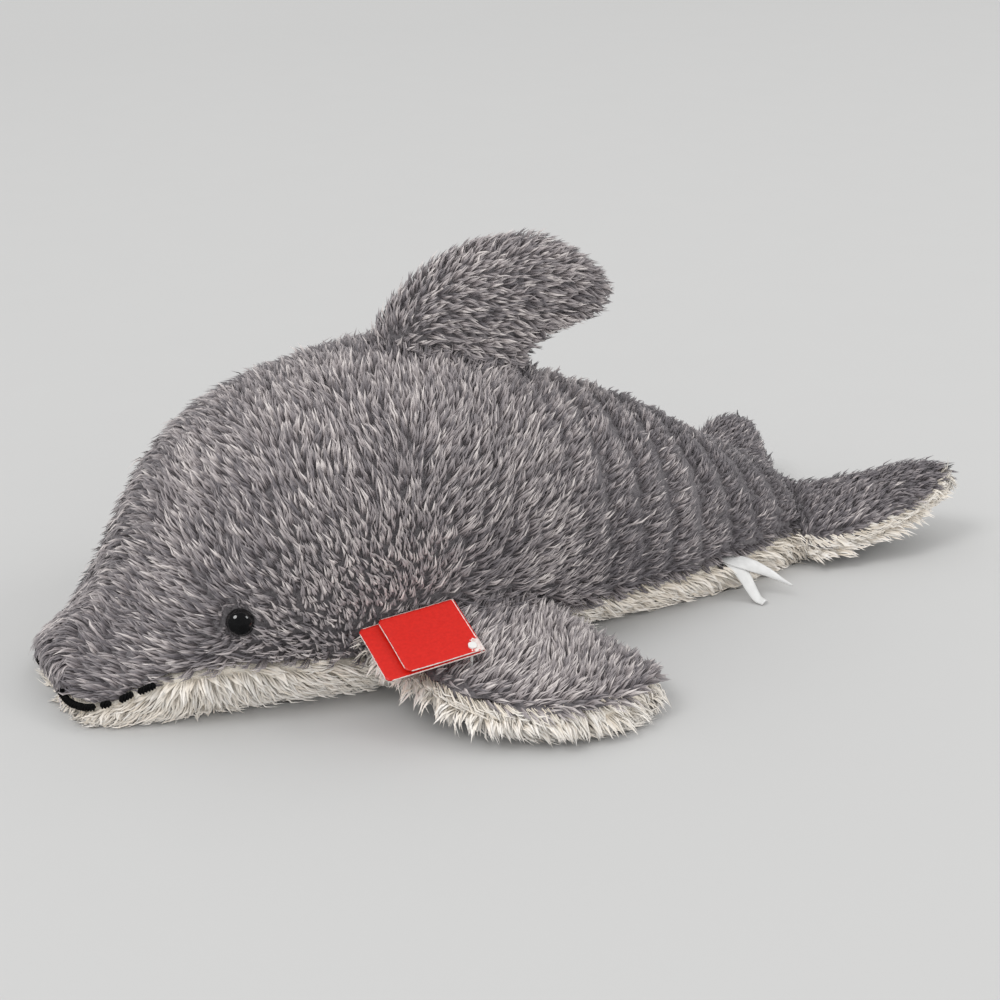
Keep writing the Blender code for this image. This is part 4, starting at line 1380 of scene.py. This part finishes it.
@dataclass
class MouthYarn:
    """Black yarn of the mouth, in four stitches on each side of the snout."""

    plies: int = 3
    ply_radius: float = 0.00128
    twist_radius: float = 0.00120
    twist_pitch: float = 0.0062
    step: float = 0.0007
    sides: int = 8
    end_taper: float = 0.0012
    sunk: tuple = (0.0012, -0.0016, 0.0)
    stitches: tuple = (
        ((-0.3312, -0.0200, 0.0150), (-0.3308, -0.0270, 0.0136), (-0.3301, -0.0330, 0.0128),
         (-0.3288, -0.0390, 0.0128), (-0.3268, -0.0440, 0.0134), (-0.3252, -0.0481, 0.0141),
         (-0.3237, -0.0514, 0.0149), (-0.3219, -0.0540, 0.0157), (-0.3200, -0.0562, 0.0165)),
        ((-0.3176, -0.0592, 0.0182), (-0.3151, -0.0612, 0.0192), (-0.3120, -0.0630, 0.0203)),
        ((-0.3074, -0.0649, 0.0215), (-0.3044, -0.0659, 0.0233), (-0.3014, -0.0670, 0.0248),
         (-0.2994, -0.0676, 0.0256)),
        ((-0.2968, -0.0684, 0.0262), (-0.2938, -0.0699, 0.0276), (-0.2906, -0.0717, 0.0293),
         (-0.2872, -0.0737, 0.0311)),
    )

    def points(self) -> Rows:
        """Places along the left side's yarn, which stands clear of the pile."""
        return np.vstack([self._path(Side.LEFT, stitch) for stitch in self.stitches])

    def _path(self, side: Side, stitch: tuple) -> Rows:
        """Points of a stitch on one side. On the right it has sunk deeper into the pile."""
        path = np.array(stitch) * np.array([1, -side.value, 1])
        return path + (np.array(self.sunk) if side is Side.RIGHT else 0.0)

    def build(self) -> None:
        """Model every stitch and let it stand for its node."""
        for side in Side:
            for number, stitch in enumerate(self.stitches, 1):
                name = f"mouth_stitch_{side.name.lower()}_{number}"
                mesh = self._twist(name, self._path(side, stitch))
                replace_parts(new_piece(name + "_yarn", mesh, BLACK_YARN), name)

    def _twist(self, name: str, path: Rows) -> Mesh:
        """Plies wound round a path.

        Args:
            name: The mesh's name.
            path: Points of the path.

        Returns:
            The mesh.
        """
        gaps = np.concatenate([[0], np.cumsum(np.linalg.norm(np.diff(path, axis=0), axis=1))])
        total = gaps[-1]
        marks = np.linspace(0, total, max(6, int(total / self.step)))
        line = np.column_stack([np.interp(marks, gaps, path[:, i]) for i in range(3)])
        ahead = unit(np.gradient(line, axis=0))
        aside = unit(np.cross(ahead, [0, 0, 1]))
        above = np.cross(aside, ahead)
        taper = np.sqrt(np.clip(np.minimum(marks, total - marks) / self.end_taper, 0.12, 1.0))
        bm = bmesh.new()
        for ply in range(self.plies):
            turn = 2 * math.pi * (marks / self.twist_pitch + ply / self.plies)
            round_path = aside * np.cos(turn)[:, None] + above * np.sin(turn)[:, None]
            centres = line + round_path * (self.twist_radius * taper)[:, None]
            self._tube(bm, centres, aside, above, self.ply_radius * taper)
        return mesh_of(name, bm)

    def _tube(self, bm: BMesh, centres: Rows, aside: Rows,
              above: Rows, radii: Rows) -> None:
        """Add one closed tube.

        Args:
            bm: The bmesh that it is added to.
            centres: Middle of each ring.
            aside: Unit vectors across the path.
            above: Unit vectors square to both.
            radii: Radius of each ring.
        """
        rings = []
        for centre, right, up, radius in zip(centres, aside, above, radii):
            basis = Matrix((right, up, np.cross(right, up))).transposed().to_4x4()
            basis.translation = Vector(centre)
            made = bmesh.ops.create_circle(bm, cap_ends=False, segments=self.sides, radius=radius,
                                           matrix=basis)
            rings.append(made["verts"])
        for near, far in zip(rings, rings[1:]):
            edges = {edge for ring in (near, far) for vert in ring for edge in vert.link_edges
                     if edge.verts[0] in ring and edge.verts[1] in ring}
            bmesh.ops.bridge_loops(bm, edges=list(edges))
        for ring in (rings[0], rings[-1]):
            bmesh.ops.contextual_create(bm, geom=ring)


@dataclass
class HangTag:
    """Folded card tag: a cover over a longer back leaf, with a worn corner at its pin hole."""

    length: float = 0.062
    cover: float = 0.0495
    width: float = 0.046
    card: float = 0.0006
    leaf_gap: float = 0.0013
    corner: float = 0.004
    hole_inset: float = 0.005
    curl: float = 0.0009
    rows: int = 22
    columns: int = 30
    fold_steps: int = 8
    place: Matrix = field(default_factory=lambda: Matrix((
        (0.99210, 0.03201, -0.12130, -0.11370), (-0.06937, 0.94559, -0.31788, -0.16320),
        (0.10453, 0.32378, 0.94034, 0.04980), (0, 0, 0, 1))))

    def build(self) -> None:
        """Model the tag and let it stand for its node."""
        bm = bmesh.new()
        self._leaf(bm, self.length, self.card / 2, 0.0)
        self._leaf(bm, self.cover, self.card * 1.5 + self.leaf_gap, self.curl)
        self._fold(bm)
        bmesh.ops.remove_doubles(bm, verts=bm.verts, dist=0.00002)
        bmesh.ops.recalc_face_normals(bm, faces=bm.faces)
        layer = bm.loops.layers.uv.new("card")
        for face in bm.faces:
            for loop in face.loops:
                loop[layer].uv = self._wear(loop.vert.co)
        bmesh.ops.solidify(bm, geom=bm.faces, thickness=self.card)
        bmesh.ops.transform(bm, matrix=self.place, verts=bm.verts)
        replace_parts(new_piece("hang_tag_card", mesh_of("hang_tag_card", bm), CardFinish()), "hang_tag")

    def _wear(self, spot: Vector) -> tuple[float, float]:
        """How worn the card is at a place.

        Args:
            spot: The place, before the tag is laid on the flipper.

        Returns:
            Nearness of the rim or the fold, and of the worn corner, both from 0 to 1.
        """
        rim = min(spot.y, self.width - spot.y, self.length + spot.x)
        on_cover = spot.z > self.card * 1.2
        if on_cover:
            rim = min(rim, self.cover + spot.x)
        fold = abs(spot.x)
        away = math.hypot(spot.x + 0.001, spot.y - self.hole_inset)
        edge = max(0.0, 1 - rim / 0.0009) if rim < fold else max(0.0, 1 - fold / 0.0010)
        worn = max(0.0, 1 - away / 0.016) if on_cover else 0.0
        return edge, worn

    def _leaf(self, bm: BMesh, length: float, level: float, curl: float) -> None:
        """Add one leaf, its free corners rounded, slightly curled.

        Args:
            bm: The bmesh that it is added to.
            length: The leaf's length from the fold.
            level: Its height.
            curl: How far its free end lifts.
        """
        part = bmesh.new()
        bmesh.ops.create_grid(part, x_segments=self.columns, y_segments=self.rows, size=0.5)
        bmesh.ops.scale(part, vec=(length, self.width, 1), verts=part.verts)
        bmesh.ops.translate(part, vec=(-length / 2, self.width / 2, 0), verts=part.verts)
        for vert in part.verts:
            self._round_corner(vert.co, length)
        for vert in part.verts:
            share = -vert.co.x / length
            ripple = 0.00022 * math.sin(vert.co.y * 190 + vert.co.x * 60)
            vert.co.z = level + curl * share ** 3 + ripple * share
        mesh = bpy.data.meshes.new("leaf")
        part.to_mesh(mesh)
        part.free()
        bm.from_mesh(mesh)
        bpy.data.meshes.remove(mesh)

    def _round_corner(self, spot: Vector, length: float) -> None:
        """Pull a point of a leaf inside the rounding of its free corners.

        Args:
            spot: The point, which is changed.
            length: The leaf's length.
        """
        radius = self.corner
        dx = -(spot.x + length) + radius
        for dy, sign in ((radius - spot.y, -1), (spot.y - (self.width - radius), 1)):
            if dx > 0 and dy > 0:
                scale = max(dx, dy) / math.hypot(dx, dy)
                spot.x += dx * (1 - scale)
                spot.y -= sign * dy * (1 - scale)

    def _fold(self, bm: BMesh) -> None:
        """Add the fold that joins the two leaves.

        Args:
            bm: The bmesh that it is added to.
        """
        radius = (self.leaf_gap + self.card) / 2
        middle = self.card / 2 + radius
        verts = [bm.verts.new((0, self.width * i / self.rows, self.card / 2)) for i in range(self.rows + 1)]
        edges = [bm.edges.new(pair) for pair in zip(verts, verts[1:])]
        bmesh.ops.spin(bm, geom=verts + edges, axis=(0, -1, 0), cent=(0, 0, middle),
                       steps=self.fold_steps, angle=math.pi, use_merge=False)


@dataclass
class SeamLabel:
    """Bare satin ribbon label, caught in the seam near the tail and curled along its length."""

    node: str
    path: tuple
    across: tuple
    curl: float
    taper: float
    width: float = 0.013
    ribbon: float = 0.0004
    rows: int = 28
    columns: int = 10

    def build(self) -> None:
        """Model the label and let it stand for its node."""
        bm = bmesh.new()
        bmesh.ops.create_grid(bm, x_segments=self.rows, y_segments=self.columns, size=0.5)
        for vert in bm.verts:
            vert.co = self._spot(vert.co.x + 0.5, vert.co.y)
        bmesh.ops.recalc_face_normals(bm, faces=bm.faces)
        bmesh.ops.solidify(bm, geom=bm.faces, thickness=self.ribbon)
        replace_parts(new_piece(self.node + "_satin", mesh_of(self.node + "_satin", bm), SATIN), self.node)

    def _spot(self, along: float, aside: float) -> Vector:
        """Place of one point of the ribbon.

        Args:
            along: Share of the length from the seam.
            aside: Share of the width from the middle.

        Returns:
            The place.
        """
        path = np.array(self.path)
        marks = np.concatenate([[0], np.cumsum(np.linalg.norm(np.diff(path, axis=0), axis=1))])
        marks /= marks[-1]
        centre, later, sooner = (Vector([np.interp(share, marks, path[:, i]) for i in range(3)])
                                 for share in (along, min(along + 0.08, 1), max(along - 0.08, 0)))
        ahead = (later - sooner).normalized()
        across = Vector(self.across[0]).lerp(Vector(self.across[1]), along)
        across = (across - ahead * across.dot(ahead)).normalized()
        rise = across.cross(ahead)
        rise *= 1 if rise.z > 0 else -1
        width = self.width * (1 - self.taper * along ** 1.4)
        bend = max(self.curl * along, 0.02)
        radius = width / (2 * bend)
        angle = 2 * bend * aside
        return centre + across * (radius * math.sin(angle)) - rise * (radius * (1 - math.cos(angle)))


LOWER_LABEL = SeamLabel(
    "seam_label_lower",
    ((0.1277, -0.0713, 0.0247), (0.1281, -0.0780, 0.0247), (0.1290, -0.0808, 0.0239), (0.1300, -0.0836, 0.0223),
     (0.1310, -0.0865, 0.0200), (0.1320, -0.0893, 0.0172), (0.1330, -0.0921, 0.0140), (0.1339, -0.0950, 0.0104),
     (0.1349, -0.0978, 0.0068), (0.1360, -0.1008, 0.0038), (0.1378, -0.1060, 0.0030)),
    ((0.999, 0.055, 0.0), (0.979, 0.048, 0.2)), 0.85, 0.45)
UPPER_LABEL = SeamLabel(
    "seam_label_upper",
    ((0.1277, -0.0713, 0.0259), (0.1281, -0.0780, 0.0259), (0.1313, -0.0809, 0.0255), (0.1346, -0.0838, 0.0246),
     (0.1378, -0.0867, 0.0235), (0.1411, -0.0897, 0.0220), (0.1443, -0.0926, 0.0203), (0.1476, -0.0955, 0.0184),
     (0.1508, -0.0985, 0.0163), (0.1541, -0.1014, 0.0139), (0.1574, -0.1042, 0.0118),
     (0.1602, -0.1064, 0.0102)),
    ((0.999, 0.055, 0.0), (0.70, -0.45, 0.55)), 1.25, 0.88)


@dataclass
class Studio:
    """Camera, floor and lamps, with nothing of the object itself."""

    target: Vector = field(default_factory=lambda: Vector((-0.01193, 0.0, 0.07)))
    azimuth: float = math.radians(-29)
    elevation: float = math.radians(22)
    distance: float = 1.30
    lens: float = 68.37
    floor_size: float = 14.0
    sky: float = 0.87
    mirrored_sky: float = 0.10
    lamps: tuple = (
        ("key", (-0.605, -0.06, 0.80), 25.0, 0.76),
        ("fill", (0.643, -0.449, 0.626), 18.0, 0.28),
        ("front", (-0.35, -0.92, 0.14), 70.0, 0.55),
    )

    def build(self) -> None:
        """Set up the whole studio."""
        self._camera()
        self._floor()
        self._lamps()
        bpy.context.scene.view_settings.view_transform = "Standard"

    def _camera(self) -> None:
        """Place the camera at the photograph's angle."""
        data = bpy.data.cameras.new("camera")
        data.lens = self.lens
        data.sensor_width = 36.0
        data.clip_end = 60.0
        camera = bpy.data.objects.new("camera", data)
        bpy.context.scene.collection.objects.link(camera)
        away = Vector((math.sin(self.azimuth) * math.cos(self.elevation),
                       -math.cos(self.azimuth) * math.cos(self.elevation), math.sin(self.elevation)))
        camera.location = self.target + away * self.distance
        camera.rotation_euler = away.to_track_quat("Z", "Y").to_euler()
        bpy.context.scene.camera = camera

    def _floor(self) -> None:
        """Lay the pale floor."""
        bm = bmesh.new()
        bmesh.ops.create_grid(bm, x_segments=8, y_segments=8, size=self.floor_size / 2)
        floor = bpy.data.objects.new("studio_floor", mesh_of("studio_floor", bm))
        floor.data.materials.append(FloorFinish().material())
        bpy.context.scene.collection.objects.link(floor)

    def _lamps(self) -> None:
        """Hang the soft lamps and set the sky."""
        for name, direction, spread, power in self.lamps:
            data = bpy.data.lights.new(name, "SUN")
            data.angle = math.radians(spread)
            data.energy = power
            lamp = bpy.data.objects.new(name, data)
            out = Vector(direction).normalized()
            lamp.location = out * 2
            lamp.visible_glossy = name != "front"
            lamp.rotation_euler = out.to_track_quat("Z", "Y").to_euler()
            bpy.context.scene.collection.objects.link(lamp)
        world = bpy.data.worlds.new("studio_sky")
        world.use_nodes = True
        tree = world.node_tree
        sky = tree.nodes["Background"]
        sky.inputs["Color"].default_value = (1.0, 1.0, 1.0, 1)
        path = tree.nodes.new("ShaderNodeLightPath")
        level = tree.nodes.new("ShaderNodeMapRange")
        level.inputs["To Min"].default_value = self.sky
        level.inputs["To Max"].default_value = self.mirrored_sky
        tree.links.new(path.outputs["Is Glossy Ray"], level.inputs["Value"])
        tree.links.new(level.outputs["Result"], sky.inputs["Strength"])
        bpy.context.scene.world = world


class Dolphin:
    """The whole toy."""

    GREY = ("body_back", "dorsal_fin", "flipper_left_top", "flipper_right_top", "fluke_top")
    WHITE = ("belly", "flipper_left_underside", "flipper_right_underside", "fluke_underside")

    def __init__(self) -> None:
        """Index the solids and the trim."""
        self.form = Form(self.GREY + self.WHITE)
        self.yarn = MouthYarn()
        self.tag = HangTag()
        self.eyes = [Eye(side) for side in Side]
        centres = [eye.on_side(eye.foot) for eye in self.eyes]
        self.trim = Trim(centres, self.yarn.points(), self.tag.place, (self.tag.length, self.tag.width))

    def build(self) -> None:
        """Model and dress every piece."""
        skins = [Skin(name, GREY_SKIN_PAINTED_SHADE, self.form) for name in self.GREY]
        skins += [Skin(name, WHITE_SKIN_PAINTED_SHADE, self.form) for name in self.WHITE]
        for part in (*skins, *self._coats(), *self.eyes, self.yarn, self.tag, LOWER_LABEL, UPPER_LABEL):
            part.build()
        self._carried_over()

    def _coats(self) -> list[Coat]:
        """List the pile of every panel.

        Returns:
            The coats.
        """
        common = {"form": self.form, "trim": self.trim}
        grey = {"finish": GREY_PILE, **common}
        white = {"finish": WHITE_PILE, "pitch": 0.0043, "spikes": 5, "half_width": 0.00066, "tone": 0.64,
                 "spread": 0.0020, "gather": 0.18, "lift": 19.0, "depth": 0.0042, "softness": 0.85, **common}
        belly = {**white, "spikes": 4, "half_width": 0.00072}
        lobes = {**white, "nap": Nap.FLUKE_FRINGE, "length": 0.0120, "lift": 13.0, "thin": True,
                 "pitch": 0.0038, "tone": 0.85}
        fringe = {**white, "nap": Nap.FRINGE, "length": 0.0160, "thin": True, "pitch": 0.0040}
        coats = [Coat("body_back", nap=Nap.FLANK, partner="belly", overlap=1.1, **grey),
                 Coat("belly", nap=Nap.BELLY, length=0.0175, partner="body_back", overlap=0.45, **belly),
                 Coat("dorsal_fin", nap=Nap.DORSAL, length=0.0130, tone=0.52, swirl=0.18, lift=36.0,
                      waver=0.22, **grey),
                 Coat("fluke_top", nap=Nap.FLUKE, length=0.0120, tone=0.40, thin=True,
                      partner="fluke_underside", overlap=0.8, zone=Zone.FIELD, edge_width=0.0078, **grey),
                 Coat("fluke_top", partner="fluke_underside", zone=Zone.EDGE, edge_width=0.009, **lobes),
                 Coat("fluke_underside", partner="fluke_top", **lobes)]
        for side in Side:
            top, under = (f"flipper_{side.name.lower()}_{face}" for face in ("top", "underside"))
            coats += [Coat(top, nap=Nap.FLIPPER, tone=0.52, thin=True, partner=under, overlap=0.9,
                           zone=Zone.FIELD, edge_width=0.0042, **grey),
                      Coat(top, partner=under, zone=Zone.EDGE, **fringe),
                      Coat(under, partner=top, zone=Zone.BEYOND_ROOT, **fringe)]
        return coats

    @staticmethod
    def _carried_over() -> None:
        """Give the CAD nodes that stay their own finishes."""
        finishes = {"eye_washer_left": WASHER_NYLON, "eye_washer_right": WASHER_NYLON, "tag_fastener": PIN_NYLON}
        for node, finish in finishes.items():
            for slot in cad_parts[node].material_slots:
                slot.material = finish.material()


def main() -> None:
    """Build the studio and the toy."""
    logging.basicConfig(level=logging.INFO, format="%(name)s %(message)s")
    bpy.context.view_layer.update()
    Studio().build()
    Dolphin().build()


if __name__ == "__main__":
    main()
